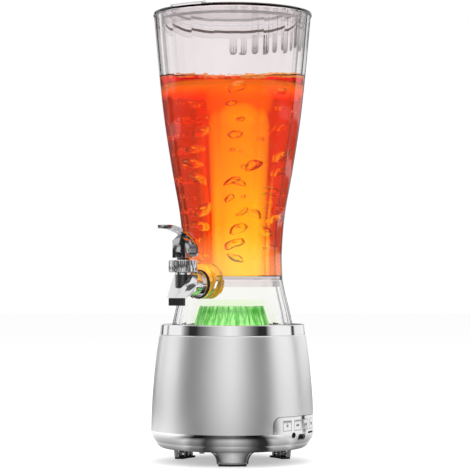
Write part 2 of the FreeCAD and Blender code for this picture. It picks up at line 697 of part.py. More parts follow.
def panel_rod(name, radius, offset, middle, start, length):
    """A round rod that points out of the control panel."""
    body = new_body(name)
    pad(body, "YZ_Plane", [(offset, middle, radius)], start, length)
    return place(body, turn="panel_azimuth")


def plinth():
    """Chrome ring with a rolled lip, and a tongue that rises into the shell as the control panel."""
    ring = new_body("plinth_ring")
    inside = "(spigot_radius - spigot_wall)"
    turn(ring, [
        ("plinth_bore", "plinth_under"),
        ("plinth_foot_radius", "plinth_under"),
        ("lip_bow", "plinth_under + 0.4 * lip_rise", "lip_radius", "lip_top"),
        ("lip_radius + lip_step", "lip_top"),
        ("plinth_bow", "(lip_top + plinth_top) / 2", "plinth_radius", "plinth_top"),
        ("spigot_radius", "plinth_top"),
        ("spigot_radius", "plinth_top + spigot_rise"),
        (inside, "plinth_top + spigot_rise"),
        (inside, "lip_top + plinth_wall"),
        ("lip_bow + 0.2", "cover_under + 0.8 * plinth_floor", "plinth_foot_radius + plinth_floor",
         "cover_under"),
        ("plinth_bore", "cover_under"),
    ])
    tongue = panel_sector("panel_tongue", "panel_inner", "plinth_radius",
                          "plinth_top - 0.5", "plinth_top + panel_rise")
    relief = new_body("spigot_relief")
    turn(relief, rectangle("panel_inner - plinth_wall / 2", "plinth_top + spigot_rise / 2 + 0.2",
                           "plinth_wall", "spigot_rise + 0.4"), sweep="2 * panel_half_angle")
    open_ring = cut("plinth_open", ring, [place(relief, turn="panel_azimuth")])
    ribs = [block("panel_rib", "panel_inner + 0.5 - strip_reach + board_thick", "rib_width",
                  "button_rise + switch_size / 2 + 0.5", "strip_reach - board_thick", "-rib_width / 2",
                  "plinth_top - 0.5", f"panel_azimuth + {side} * (panel_half_angle - rib_inset)")
            for side in ("-1", "1")]
    whole = fuse("plinth_whole", [open_ring, tongue] + ribs)
    start = "plinth_radius - 14"
    holes = [panel_rod("jack_hole", "jack_barrel + button_gap", "jack_offset", "jack_height", start, "16"),
             panel_block("usb_hole", "usb_width + 2 * button_gap", "usb_height + 2 * button_gap",
                         "16", start, "usb_offset", "usb_middle"),
             panel_block("slot_hole", "slot_width", "slot_height", "16", start, "slot_offset", "slot_middle")]
    for index in range(4):
        holes.append(block("button_hole", "2 * plinth_wall", "button_width + 2 * button_gap",
                           "button_height + 2 * button_gap", "plinth_radius - 1.5 * plinth_wall",
                           "-button_width / 2 - button_gap",
                           "button_middle - button_height / 2 - button_gap", button_azimuth(index)))
    for azimuth in cover_screw_azimuths():
        holes.append(disc("cover_screw_hole", "screw_radius + screw_gap", "plinth_floor + 2",
                          "cover_screw_reach", "0", "plinth_under - 1", azimuth))
    return node("plinth", cut("plinth", whole, holes))


def base_shell():
    """Satin barrel that stands on the plinth, turned in at the top, open over the panel."""
    body = new_body("shell_barrel")
    half_way = "(plinth_top + shell_top) / 2"
    turn(body, [
        ("shell_radius", "plinth_top"),
        ("shell_belly_radius", half_way, "shell_neck_radius", "shell_top - shell_edge"),
        ("shell_neck_radius - shell_edge * 0.3", "shell_top - shell_edge * 0.3",
         "shell_neck_radius - shell_edge", "shell_top"),
        ("shell_hole", "shell_top"),
        ("shell_hole", "shell_top - shell_wall"),
        ("shell_neck_radius - shell_wall", "shell_top - shell_wall"),
        ("shell_belly_radius - shell_wall", half_way, "shell_radius - shell_wall", "plinth_top"),
    ])
    gap = panel_sector("panel_gap", "panel_inner - 4", "plinth_radius + 4", "plinth_top - 2",
                      "plinth_top + panel_rise + slip_gap", "0.2")
    return node("base_shell", cut("base_shell", body, [gap]))


def collar_ring():
    """Chrome ring that seats the foot of the column."""
    body = new_body("collar_ring")
    top = "(collar_radius - collar_lean)"
    section = [
        ("collar_radius - collar_foot_wall", "shell_top"),
        ("collar_radius", "shell_top"),
        (top, "collar_top - collar_edge"),
        (f"{top} - collar_edge * 0.3", "collar_top - collar_edge * 0.3", f"{top} - collar_edge",
         "collar_top"),
        ("foot_radius + 0.3", "collar_top"),
        ("foot_radius + 0.3", "seat_height"),
        ("ledge_radius", "seat_height"),
        ("ledge_radius", "seat_height - collar_seat_thick"),
        ("collar_radius - collar_foot_wall", "seat_height - collar_seat_thick"),
    ]
    turn(body, section)
    return node("collar_ring", body)


# ---- light -----------------------------------------------------------------------------

def light_deck():
    """White dished deck, held by its rim between the shell and the collar."""
    body = new_body("light_deck")
    rim, neck = "(collar_radius - collar_foot_wall - slip_gap)", "(ledge_radius - slip_gap)"
    under_ledge = "(seat_height - collar_seat_thick - slip_gap)"
    section = [
        ("0", "deck_top"), ("0", "deck_top - deck_thick"),
        (f"{neck} - deck_thick", "deck_top - deck_thick"), (f"{neck} - deck_thick", "shell_top"),
        (rim, "shell_top"), (rim, under_ledge), (neck, under_ledge), (neck, "deck_top"),
    ]
    turn(body, section)
    lead_hole = disc("lead_hole", "2 * lead_radius", "3 * deck_thick", z="deck_top - 2 * deck_thick")
    return node("light_deck", cut("light_deck", body, [lead_hole]))


def led_board():
    board = disc("led_board", "led_board_radius", "board_thick", z="deck_top")
    return node("led_board", board)


def leds():
    """Square lamps on a circle of the board."""
    lamps = []
    for index in range(int(size("led_count"))):
        lamps.append(block("led", "led_size", "led_size", "led_height",
                           "led_ring_radius - led_size / 2", "-led_size / 2",
                           "deck_top + board_thick", f"{index} * 360 / led_count"))
    return node("leds", group("leds", lamps))


def led_lens():
    """Clear fluted bell over the lights."""
    foot, top, rise = size("lens_foot_radius"), size("lens_top_radius"), size("lens_rise")
    wall, base = size("lens_wall"), size("deck_top")
    bell = Part.makeCone(foot, top, rise, V(0, 0, base))
    hollow = Part.makeCone(foot - wall - 0.4, top - wall, rise - wall, V(0, 0, base))
    slope = V(top - foot, 0, rise)
    flute = Part.makeCylinder(size("flute_radius"), slope.Length * 1.4,
                              V(foot + size("flute_radius") * 0.72, 0, base) - slope * 0.2, slope)
    flutes = []
    for index in range(int(size("flute_count"))):
        turned = flute.copy()
        turned.rotate(V(0, 0, 0), V(0, 0, 1), index * 360 / size("flute_count"))
        flutes.append(turned)
    return node("led_lens", shaped("led_lens", bell.cut(flutes).cut(hollow).removeSplitter()))


# ---- column ----------------------------------------------------------------------------

VESSEL_LEVELS = [("vessel_under", "joint_radius"), ("vessel_under + waist_rise", "waist_radius"),
                 ("vessel_under + hip_rise", "hip_radius"), ("vessel_under + belly_rise", "belly_radius"),
                 ("vessel_under + shoulder_rise", "shoulder_radius"),
                 ("vessel_under + neck_rise", "neck_radius"), ("rim_top", "rim_radius")]
SKIRT_LEVELS = [("collar_top", "skirt_foot_radius"), ("collar_top + skirt_low_rise", "skirt_low_radius"),
                ("collar_top + skirt_high_rise", "skirt_high_radius"), ("vessel_under", "joint_radius")]


def flare(levels, inwards=0.0):
    """The column's side at the middle of a flat, as one smooth curve."""
    share = size("flat_share")
    curve = Part.BSplineCurve()
    curve.interpolate([V(size(radius) * share - inwards, 0, size(height)) for height, radius in levels])
    return curve.toShape()


def faceted(levels):
    """A solid with flat sides round the column, each curved only up and down."""
    right = flare(levels)
    left = right.mirror(V(0, 0, 0), V(1, 0, 0))
    low, high = size(levels[0][0]), size(levels[-1][0])
    start, end = right.Vertexes[0].Point, right.Vertexes[1].Point
    foot = Part.makeLine(V(-start.x, 0, low), V(start.x, 0, low))
    head = Part.makeLine(V(end.x, 0, high), V(-end.x, 0, high))
    face = Part.Face(Part.Wire(Part.__sortEdges__([foot, right, head, left])))
    width = 1.2 * max(start.x, end.x)
    face.translate(V(0, -width, 0))
    slab = face.extrude(V(0, 2 * width, 0))
    step = 360 / size("side_count")
    whole = slab.copy()
    whole.rotate(V(0, 0, 0), V(0, 0, 1), size("tap_azimuth"))
    for index in range(1, int(size("side_count") / 2)):
        turned = slab.copy()
        turned.rotate(V(0, 0, 0), V(0, 0, 1), size("tap_azimuth") + index * step)
        whole = whole.common(turned)
    return whole


def round_inside(levels, wall, low=None):
    """The round space inside the flats, closed at both ends."""
    curve = flare(levels, wall)
    start, end = curve.Vertexes[0].Point, curve.Vertexes[1].Point
    edges = [Part.makeLine(V(0, 0, start.z), start), curve, Part.makeLine(end, V(0, 0, end.z)),
             Part.makeLine(V(0, 0, end.z), V(0, 0, start.z))]
    space = Part.Face(Part.Wire(edges)).revolve(V(0, 0, 0), V(0, 0, 1), 360)
    if low is not None:
        space = space.cut(Part.makeCylinder(2 * max(start.x, end.x), low - start.z + 1, V(0, 0, start.z - 1)))
    return space


def tapwise(start, radius, length, height, direction=V(1, 0, 0)):
    """A rod along the tap's direction, from a distance off the column's axis."""
    rod = Part.makeCylinder(radius, length, V(start, 0, height), direction)
    rod.rotate(V(0, 0, 0), V(0, 0, 1), size("tap_azimuth"))
    return rod


def tower_vessel():
    """Clear vessel with a well for the tap that reaches below its floor."""
    floor, back, face = size("vessel_inside"), size("well_back"), size("well_face_reach")
    height, radius, wall = size("well_height"), size("well_radius"), size("well_wall")
    front_wall, back_wall = size("well_front_wall"), size("well_back_wall")
    outside = faceted(VESSEL_LEVELS)
    plug_outer = size("joint_radius * flat_share - skirt_wall - thread_gap")
    plug_foot = size("vessel_under - plug_rise")
    ring = Part.makeCylinder(plug_outer, size("plug_rise") + 1, V(0, 0, plug_foot))
    bore = Part.makeCylinder(plug_outer - size("plug_wall"), size("plug_rise"), V(0, 0, plug_foot))
    space = round_inside(VESSEL_LEVELS, size("vessel_wall"), floor)
    vessel = outside.fuse(ring.cut(bore)).cut(space)
    well = tapwise(back, radius, face - back, height)
    hollow = tapwise(back + back_wall, radius - wall, face - front_wall - back - back_wall, height)
    mouth = tapwise(back - 1, radius - wall, back_wall + 2, height)
    mouth = mouth.cut(Part.makeBox(400, 400, 200, V(-200, -200, floor - 200)))
    hole = tapwise(face - 2 * front_wall, size("shank_radius + shank_gap"), 3 * front_wall,
                   size("tap_height"))
    vessel = vessel.fuse(well).cut([hollow, mouth, hole]).removeSplitter()
    return node("tower_vessel", shaped("tower_vessel", vessel))


def tower_skirt():
    """Clear flared skirt that carries the vessel and stands in the collar."""
    outside = faceted(SKIRT_LEVELS)
    inside = round_inside(SKIRT_LEVELS, size("skirt_wall"))
    seam = Part.makeBox(400, 400, 10, V(-200, -200, size("vessel_under - seam_gap")))
    foot_low, foot = size("seat_height"), size("foot_radius")
    spigot = Part.makeCylinder(foot, size("collar_seat") + 1, V(0, 0, foot_low))
    bore = Part.makeCylinder(size("foot_inner"), size("collar_seat") + 1.5, V(0, 0, foot_low))
    room = tapwise(size("well_back") - 8, size("well_radius + slip_gap"), 40, size("well_height"))
    skirt = outside.fuse(spigot).cut([inside, bore, room, seam]).removeSplitter()
    return node("tower_skirt", shaped("tower_skirt", skirt))


# ---- tap, in a frame at the valve axis and the shank's height, +X away from the column ---

def at_tap(thing):
    return place(thing, "valve_reach", "0", "tap_height", "tap_azimuth")


def tap_body():
    """Chromed body: threaded shank, flange, valve chamber and slanting spout."""
    body = new_body("tap_body")
    chamber = [("0", "spout_heel"), ("chamber_radius", "spout_heel"),
               ("chamber_radius", "chamber_top"), ("tap_neck_radius", "chamber_top"),
               ("tap_neck_radius", "neck_top"), ("0", "neck_top")]
    turn(body, chamber)
    spout = [("spout_back", "chamber_top - 0.5"), ("spout_back", "spout_heel"),
             ("outlet_back", "spout_foot"), ("outlet_front", "spout_foot"),
             ("spout_brow", "chamber_top - 0.5")]
    pad(body, "XZ_Plane", spout, "-spout_top_width / 2", "spout_top_width")
    for side in ("1", "-1"):
        slope = [(f"{side} * spout_foot_width / 2", "spout_foot - 1"),
                 (f"{side} * spout_top_width", "spout_foot - 1"),
                 (f"{side} * spout_top_width", "chamber_top"),
                 (f"{side} * spout_top_width / 2", "chamber_top")]
        pocket(body, "YZ_Plane", slope, "spout_back - 1", "outlet_front - spout_back + 2")
    pad(body, "YZ_Plane", [("0", "0", "sleeve_radius")], "flange_face + 0.5",
        "spout_back + 0.5 - flange_face")
    pad(body, "YZ_Plane", [("0", "0", "flange_radius")], "flange_face", "flange_thick")
    pad(body, "YZ_Plane", [("0", "0", "shank_radius")], "shank_end", "flange_face + 1 - shank_end")
    groove(body, [("0", "chamber_floor"), ("chamber_bore", "chamber_floor"),
                  ("chamber_bore", "neck_top + 1"), ("0", "neck_top + 1")])
    pocket(body, "YZ_Plane", [("0", "0", "shank_bore")], "shank_end - 1", "1 - shank_end")
    drop = size("spout_foot - chamber_floor")
    run = size("spout_middle")
    port = Part.makeCylinder(size("outlet_bore"), math.hypot(run, drop) + 2,
                             V(0, 0, size("chamber_floor") + 1), V(run, 0, drop - 1))
    channel = at_tap(shaped("spout_channel", port))
    return node("tap_body", cut("tap_body", at_tap(body), [channel]))


def tap_outlet():
    """Black nozzle pushed on under the spout block."""
    body = new_body("tap_outlet")
    half, chamfer = "spout_foot_width / 2", "outlet_chamfer"
    ends = []
    for side, front in (("-1", False), ("-1", True), ("1", True), ("1", False)):
        straight = ("outlet_front" if front else "outlet_back", f"{side} * ({half} - {chamfer})")
        inset = (f"outlet_front - {chamfer}" if front else f"outlet_back + {chamfer}", f"{side} * {half}")
        corner = [straight, inset] if front == (side == "1") else [inset, straight]
        ends += corner
    pad(body, "XY_Plane", ends, "outlet_foot", "outlet_rise")
    pocket(body, "XY_Plane", [("spout_middle", "0", "outlet_bore")], "outlet_foot - 1", "outlet_rise + 2")
    return node("tap_outlet", at_tap(body))


def ring_on_shank(label, radius, start, thick):
    body = new_body(label)
    pad(body, "YZ_Plane", [("0", "0", radius)], start, thick)
    pocket(body, "YZ_Plane", [("0", "0", "shank_radius + thread_gap")], f"{start} - 1", f"{thick} + 2")
    return node(label, at_tap(body))


def tap_lock_nut():
    """Hexagon nut that clamps the shank from inside the well."""
    body = new_body("tap_lock_nut")
    start = "(well_inner_face - washer_thick - nut_thick)"
    corners = [(f"nut_across / 2 / cos(30) * cos({60 * k})", f"nut_across / 2 / cos(30) * sin({60 * k})")
               for k in range(6)]
    pad(body, "YZ_Plane", corners, start, "nut_thick")
    pocket(body, "YZ_Plane", [("0", "0", "shank_radius + thread_gap")], f"{start} - 1", "nut_thick + 2")
    return node("tap_lock_nut", at_tap(body))


def tap_cap():
    """Chromed cap with finger lugs, screwed over the neck."""
    body = new_body("tap_cap")
    turn(body, [("0", "cap_foot"), ("cap_radius", "cap_foot"), ("cap_radius", "cap_top - cap_edge"),
                ("cap_radius - cap_edge", "cap_top"), ("0", "cap_top")])
    inner = "cap_radius - 2"
    lug = pad(body, "XY_Plane", rectangle(f"({inner} + lug_radius) / 2", "0", f"lug_radius - ({inner})",
                                          "lug_width"),
              "cap_foot - lug_drop", "cap_top - cap_edge / 2 - cap_foot + lug_drop")
    around(body, [lug], "lug_count")
    groove(body, [("0", "cap_foot - lug_drop - 1"),
                  ("tap_neck_radius + thread_gap", "cap_foot - lug_drop - 1"),
                  ("tap_neck_radius + thread_gap", "neck_top + thread_gap"),
                  ("cap_bore", "neck_top + thread_gap"),
                  ("cap_bore", "cap_ceiling"), ("stem_radius + stem_gap", "cap_ceiling"),
                  ("stem_radius + stem_gap", "cap_top + 1"), ("0", "cap_top + 1")])
    return node("tap_cap", at_tap(body))


def tap_cap_washer():
    body = new_body("tap_cap_washer")
    turn(body, [("stem_radius + 2 * stem_gap", "cap_top"), ("cap_washer_radius", "cap_top"),
                ("cap_washer_radius", "cap_washer_top"), ("stem_radius + 2 * stem_gap", "cap_washer_top")])
    return node("tap_cap_washer", at_tap(body))


def tap_spring():
    """Coil spring between the stem's collar and the cap."""
    wire, coil = size("spring_wire"), size("spring_radius")
    low = size("spring_foot") + wire
    rise = size("cap_ceiling") - wire - low
    path = Part.makeHelix(rise / size("spring_turns"), rise, coil)
    path.translate(V(0, 0, low))
    section = Part.Wire(Part.makeCircle(wire, V(coil, 0, low), V(0, 1, 0)))
    spring = Part.Wire(path.Edges).makePipeShell([section], True, True)
    return node("tap_spring", at_tap(shaped("tap_spring", spring)))


def tap_stem():
    """Steel stem with a spring collar and a flat eye for the lever's pin."""
    body = new_body("tap_stem")
    turn(body, [("0", "chamber_floor + plug_length - 1.5"),
                ("stem_radius", "chamber_floor + plug_length - 1.5"),
                ("stem_radius", "stem_collar_height"), ("stem_collar_radius", "stem_collar_height"),
                ("stem_collar_radius", "spring_foot"), ("stem_radius", "spring_foot"),
                ("stem_radius", "pin_height"), ("0", "pin_height")])
    pad(body, "XZ_Plane", [("0", "pin_height", "eye_radius")], "-eye_width / 2", "eye_width")
    pocket(body, "XZ_Plane", [("0", "pin_height", "pin_radius + pin_fit")], "-eye_width", "2 * eye_width")
    return node("tap_stem", at_tap(body))


def seat_plug():
    """Silicone plug that closes the valve seat."""
    body = new_body("tap_seat_plug")
    foot = "(chamber_floor + stem_gap)"
    turn(body, [("0", foot), ("plug_radius - 1.4", foot), ("plug_radius", f"{foot} + 1.2"),
                ("plug_radius", f"{foot} + plug_length - 1.4"),
                ("stem_radius + 0.8", f"{foot} + plug_length"),
                ("stem_radius + stem_gap", f"{foot} + plug_length"),
                ("stem_radius + stem_gap", "chamber_floor + plug_length - 1.5 - stem_gap"),
                ("0", "chamber_floor + plug_length - 1.5 - stem_gap")])
    return node("tap_seat_plug", at_tap(body))


def lever_pin():
    body = new_body("tap_lever_pin")
    pad(body, "XZ_Plane", [("0", "pin_height", "pin_radius")], "-lever_head_width / 2", "lever_head_width")
    return node("tap_lever_pin", at_tap(body))


def tap_lever():
    """Forged lever: a shield-shaped head over the stem's eye, and a paddle that curls forward."""
    body = new_body("tap_lever")
    half_depth, half_width = "(lever_head_depth / 2)", "(lever_head_width / 2)"
    head = [(f"-{half_depth}", "lever_foot"), (half_depth, "lever_foot"), (half_depth, "lever_apex"),
            ("1", "lever_apex"), (f"-{half_depth}", "paddle_bend + 4")]
    pad(body, "XZ_Plane", head, f"-{half_width}", "lever_head_width")
    for side in ("1", "-1"):
        roof = [("0", "lever_apex"), (f"{side} * {half_width}", "lever_shoulder"),
                (f"{side} * lever_head_width", "lever_shoulder"),
                (f"{side} * lever_head_width", "lever_apex + 2"),
                ("0", "lever_apex + 2")]
        pocket(body, "YZ_Plane", roof, "-lever_head_depth", "2 * lever_head_depth")
    back, front = f"(-{half_depth} - paddle_thick)", f"(0.2 - {half_depth})"
    grip_top, half_way = "(paddle_top + grip_thick)", "(paddle_knee + paddle_reach) / 2"
    paddle = [
        (back, "paddle_foot"),
        (back, "paddle_bend"),
        (f"{back} + 4", "paddle_bend + 11", "paddle_knee", f"{grip_top} - paddle_knee_drop"),
        (half_way, f"{grip_top} - 0.1 * paddle_knee_drop", "paddle_reach", grip_top),
        ("paddle_reach", "paddle_top"),
        (half_way, "paddle_top - 0.1 * paddle_knee_drop", "paddle_knee + 1.4",
         "paddle_top - 0.9 * paddle_knee_drop"),
        (f"{front} + 4.2", "paddle_bend + 8.8", front, "paddle_bend"),
        (front, "paddle_foot"),
    ]
    pad(body, "XZ_Plane", paddle, "-paddle_width / 2", "paddle_width")
    for side in ("1", "-1"):
        trim = [(f"{side} * paddle_width / 2", "paddle_bend"),
                (f"{side} * paddle_tip_width / 2", "lever_apex"),
                (f"{side} * paddle_tip_width / 2", f"{grip_top} + 2"),
                (f"{side} * paddle_width", f"{grip_top} + 2"),
                (f"{side} * paddle_width", "paddle_bend")]
        pocket(body, "YZ_Plane", trim, "-lever_head_depth", "paddle_reach + 2 * lever_head_depth")
    slot = "(eye_width + 2 * lever_gap)"
    room = f"({half_depth} - lever_front_wall)"
    pocket(body, "XZ_Plane", [(f"-{half_depth}", "lever_foot - 1"), (room, "lever_foot - 1"),
                              (room, "pin_height + eye_radius + 1"),
                              (f"-{half_depth}", "pin_height + eye_radius + 1")],
           f"-{slot} / 2", slot)
    pocket(body, "XZ_Plane", [(f"{room} - 1", "lever_foot - 1"), (f"{half_depth} + 1", "lever_foot - 1"),
                              (f"{half_depth} + 1", "pin_height - 1"), (f"{room} - 1", "pin_height - 1")],
           f"-{slot} / 2", slot)
    pocket(body, "XZ_Plane", [("0", "pin_height", "pin_radius + pin_fit")], "-lever_head_width",
           "2 * lever_head_width")
    return node("tap_lever", at_tap(body))


# ---- lid -------------------------------------------------------------------------------

def lid():
    """Clear lid: round flange, plug skirt with a seal groove, thumb tab and guide fingers."""
    body = new_body("lid_disc")
    flange, edge = "lid_radius", "lid_edge"
    seal = "(rim_top - seal_drop)"
    half = "(seal_radius + 0.1)"
    turn(body, [
        ("0", "lid_top - lid_plate"), ("lid_plug - lid_plug_wall", "lid_top - lid_plate"),
        ("lid_plug - lid_plug_wall", "rim_top - lid_plug_drop"), ("lid_plug", "rim_top - lid_plug_drop"),
        ("lid_plug", f"{seal} - {half}"), ("lid_plug - seal_depth + 0.7", f"{seal} - {half}"),
        ("lid_plug - seal_depth + 0.7", f"{seal} + {half}"), ("lid_plug", f"{seal} + {half}"),
        ("lid_plug", "rim_top"), (flange, "rim_top"), (flange, f"lid_top - {edge}"),
        (f"{flange} - {edge} * 0.3", f"lid_top - {edge} * 0.3", f"{flange} - {edge}",
        "lid_top"), ("0", "lid_top")])
    tab = new_body("lid_tab")
    turn(tab, [("lid_radius - tab_depth", "lid_top - 1"), ("lid_radius + tab_overhang", "lid_top - 1"),
               ("lid_radius + tab_overhang", "lid_top + tab_rise"),
               ("lid_radius - tab_depth", "lid_top + tab_rise")],
         sweep="2 * tab_half_angle")
    knuckle = block("lid_knuckle", "4", "2.4", "2.6", "lid_radius - 3.4", "-1.2", "lid_top - 0.8",
                    "tab_azimuth + tab_half_angle + 1.6")
    fingers = new_body("lid_fingers")
    inner = "(lid_plug - lid_plug_wall - finger_thick + 0.1)"
    foot = "(rim_top - finger_drop)"
    half_width = "(finger_width / 2)"
    shape = [(f"-{half_width}", "lid_top - lid_plate / 2"), (f"-{half_width}", f"{foot} + finger_round"),
             (f"finger_round * 0.3 - {half_width}", f"{foot} + finger_round * 0.3",
              f"finger_round - {half_width}", foot),
             (f"{half_width} - finger_round", foot),
             (f"{half_width} - finger_round * 0.3", f"{foot} + finger_round * 0.3",
              half_width, f"{foot} + finger_round"),
             (half_width, "lid_top - lid_plate / 2")]
    tongue = pad(fingers, "YZ_Plane", shape, inner, "finger_thick")
    parts = [tongue]
    for step in ("-1", "0", "1"):
        top = "(rim_top - finger_slit_top)"
        parts.append(pocket(fingers, "YZ_Plane",
                            rectangle(f"{step} * finger_slit_pitch", f"({top} + {foot}) / 2",
                                      "finger_slit", f"{top} - {foot} - finger_round"),
                            f"{inner} - 1", "finger_thick + 2"))
    around(fingers, parts, "finger_count", "(finger_count - 1) * 360 / side_count")
    whole = [body, place(tab, turn="tab_azimuth"), knuckle, place(fingers, turn="finger_azimuth")]
    return node("lid", fuse("lid", whole))


def lid_seal():
    """Silicone ring in the groove of the lid's skirt."""
    body = new_body("lid_seal")
    inner, outer = "(lid_plug - seal_depth + 0.75)", "(lid_plug + 0.55)"
    middle, half = "(rim_top - seal_drop)", "seal_radius"
    turn(body, [(inner, f"{middle} - {half}"), (f"{outer} - 0.5", f"{middle} - {half}"),
                (outer, middle, f"{outer} - 0.5", f"{middle} + {half}"), (inner, f"{middle} + {half}")])
    return node("lid_seal", body)


# ---- inside the base -------------------------------------------------------------------

def bottom_cover():
    """Cover over the plinth's floor, with the loudspeaker's grille and the posts of the boards."""
    plate = disc("cover_plate", "cover_radius", "cover_thick", z="cover_under")
    solids = [plate]
    for x in ("post_x", "-post_x"):
        for y in ("post_y", "-post_y"):
            solids.append(disc("board_post", "post_radius", "post_rise + 1", x, y, "cover_top - 1"))
    for azimuth in cover_screw_azimuths():
        solids.append(disc("cover_boss", "screw_boss_radius", "screw_boss_rise + 1",
                           "cover_screw_reach", "0", "cover_top - 1", azimuth))
    for side in ("-1", "1"):
        solids.append(disc("socket_post", "socket_post_radius", "socket_board_foot - cover_top + 1",
                           "socket_post_reach", f"{side} * socket_post_offset", "cover_top - 1",
                           "panel_azimuth"))
    holes = [disc("grille_hole", "grille_hole", "cover_thick + 2", z="cover_under - 1")]
    for row_number in range(1, int(size("grille_radius / grille_pitch")) + 1):
        for index in range(6 * row_number):
            holes.append(disc("grille_hole", "grille_hole", "cover_thick + 2", f"{row_number} * grille_pitch",
                              "0",
                              "cover_under - 1", f"{index} * 60 / {row_number}"))
    for azimuth in cover_screw_azimuths():
        holes.append(disc("boss_bore", "screw_radius + screw_gap", "cover_thick + screw_boss_rise + 3",
                          "cover_screw_reach", "0", "cover_under - 1", azimuth))
    for x in ("post_x", "-post_x"):
        for y in ("post_y", "-post_y"):
            holes.append(disc("post_bore", "screw_radius + screw_gap", "8", x, y, "board_foot - 7"))
    return node("bottom_cover", cut("bottom_cover", fuse("cover_solid", solids), holes))


def screw(name, length, x, y, z, turned="0", head="-1"):
    """A pan head screw; z is the face that the head bears on, and head the side it is on."""
    body = new_body(name)
    turn(body, [("0", f"{head} * screw_head_rise"), ("screw_head_radius - 0.6", f"{head} * screw_head_rise"),
                ("screw_head_radius", f"{head} * (screw_head_rise - 0.7)"), ("screw_head_radius", "0"),
                ("screw_radius", "0"), ("screw_radius", f"-1 * {head} * {length}"),
                ("0", f"-1 * {head} * {length}")])
    return place(body, x, y, z, turned)


def screws():
    under = [screw("cover_screw", "cover_screw_length", "cover_screw_reach", "0", "plinth_under", azimuth)
             for azimuth in cover_screw_azimuths()]
    node("cover_screws", group("cover_screws", under))
    above = [screw("board_screw", "board_screw_length", x, y, "board_top", head="1")
             for x in ("post_x", "-post_x") for y in ("post_y", "-post_y")]
    node("board_screws", group("board_screws", above))


def loudspeaker():
    """Round driver that faces down through the grille."""
    basket = new_body("speaker_basket")
    inner = "(surround_radius + surround_half)"
    turn(basket, [(inner, "cover_top"), ("speaker_radius", "cover_top"), ("speaker_radius", "basket_foot"),
                  (f"{inner} + basket_wall", "basket_foot"),
                  ("basket_top_radius + basket_wall", "basket_top"),
                  ("basket_top_radius", "magnet_foot"), ("coil_radius + 2", "magnet_foot"),
                  ("coil_radius + 2", "basket_top"), ("basket_top_radius - 0.5", "basket_top"),
                  (inner, "basket_foot - 0.6")])
    node("speaker_basket", basket)
    surround = new_body("speaker_surround")
    flat = "(cover_top + 1)"
    near, far = "(surround_radius - surround_half)", "(surround_radius + surround_half - 0.4)"
    turn(surround, [(near, flat), ("surround_radius", f"{flat} - 0.7", far, flat),
                    (far, f"{flat} + 0.6"), ("surround_radius", f"{flat} - 0.1", near, f"{flat} + 0.6")])
    node("speaker_surround", surround)
    cone = new_body("speaker_cone")
    rim = "(surround_radius - surround_half - 0.1)"
    turn(cone, [(rim, flat), (rim, f"{flat} + cone_thick"), ("cone_neck_radius", "cone_top + cone_thick"),
                ("coil_radius + coil_wall + 0.1", "cone_top + cone_thick"),
                ("coil_radius + coil_wall + 0.1", "cone_top")])
    node("speaker_cone", cone)
    dome = new_body("speaker_dust_cap")
    edge = "(coil_radius + coil_wall)"
    turn(dome, [("0", "cone_top - dome_rise"),
                (f"{edge} * 0.7", "cone_top - dome_rise * 0.7", edge, "cone_top - cone_thick"),
                (edge, "cone_top - 0.1"), (f"{edge} - cone_thick", "cone_top - 0.1"),
                (f"{edge} * 0.65", "cone_top - dome_rise * 0.5", "0", "cone_top - dome_rise + cone_thick")])
    node("speaker_dust_cap", dome)
    coil = new_body("voice_coil")
    turn(coil, [("coil_radius", "cone_top"), ("coil_radius + coil_wall", "cone_top"),
                ("coil_radius + coil_wall", "cone_top + coil_rise"), ("coil_radius", "cone_top + coil_rise")])
    node("voice_coil", coil)
    magnet = new_body("speaker_magnet")
    bore = "(coil_radius + coil_wall + 0.8)"
    turn(magnet, [(bore, "magnet_foot"), ("magnet_radius", "magnet_foot"),
                  ("magnet_radius", "magnet_top"), (bore, "magnet_top")])
    node("speaker_magnet", magnet)
    yoke = new_body("speaker_yoke")
    turn(yoke, [("0", "magnet_foot"), ("pole_radius", "magnet_foot"), ("pole_radius", "magnet_top"),
                ("magnet_radius - 1", "magnet_top"), ("magnet_radius - 1", "magnet_top + yoke_plate"),
                ("0", "magnet_top + yoke_plate")])
    node("speaker_yoke", yoke)


def main_board():
    board = block("main_board_plate", "board_length", "board_width", "board_thick",
                  "-board_length / 2", "-board_width / 2", "board_foot")
    holes = [disc("board_hole", "screw_radius + screw_gap", "board_thick + 2", x, y, "board_foot - 1")
             for x in ("post_x", "-post_x") for y in ("post_y", "-post_y")]
    node("main_board", cut("main_board", board, holes))
    chips = [block("radio_module", "18", "13", "2.4", "-38", "8", "board_top"),
             block("amplifier_chip", "10", "10", "1.6", "-4", "-6", "board_top"),
             block("charger_chip", "6", "6", "1.4", "18", "-20", "board_top"),
             block("lead_header", "8", "5", "header_rise", "-4", "22", "board_top"),
             block("panel_header", "12", "5", "header_rise", "26", "-30", "board_top")]
    chips += [disc("capacitor", "4", "11", x, y, "board_top") for x,
              y in (("20", "6"), ("30", "6"), ("20", "18"))]
    node("board_parts", group("board_parts", chips))


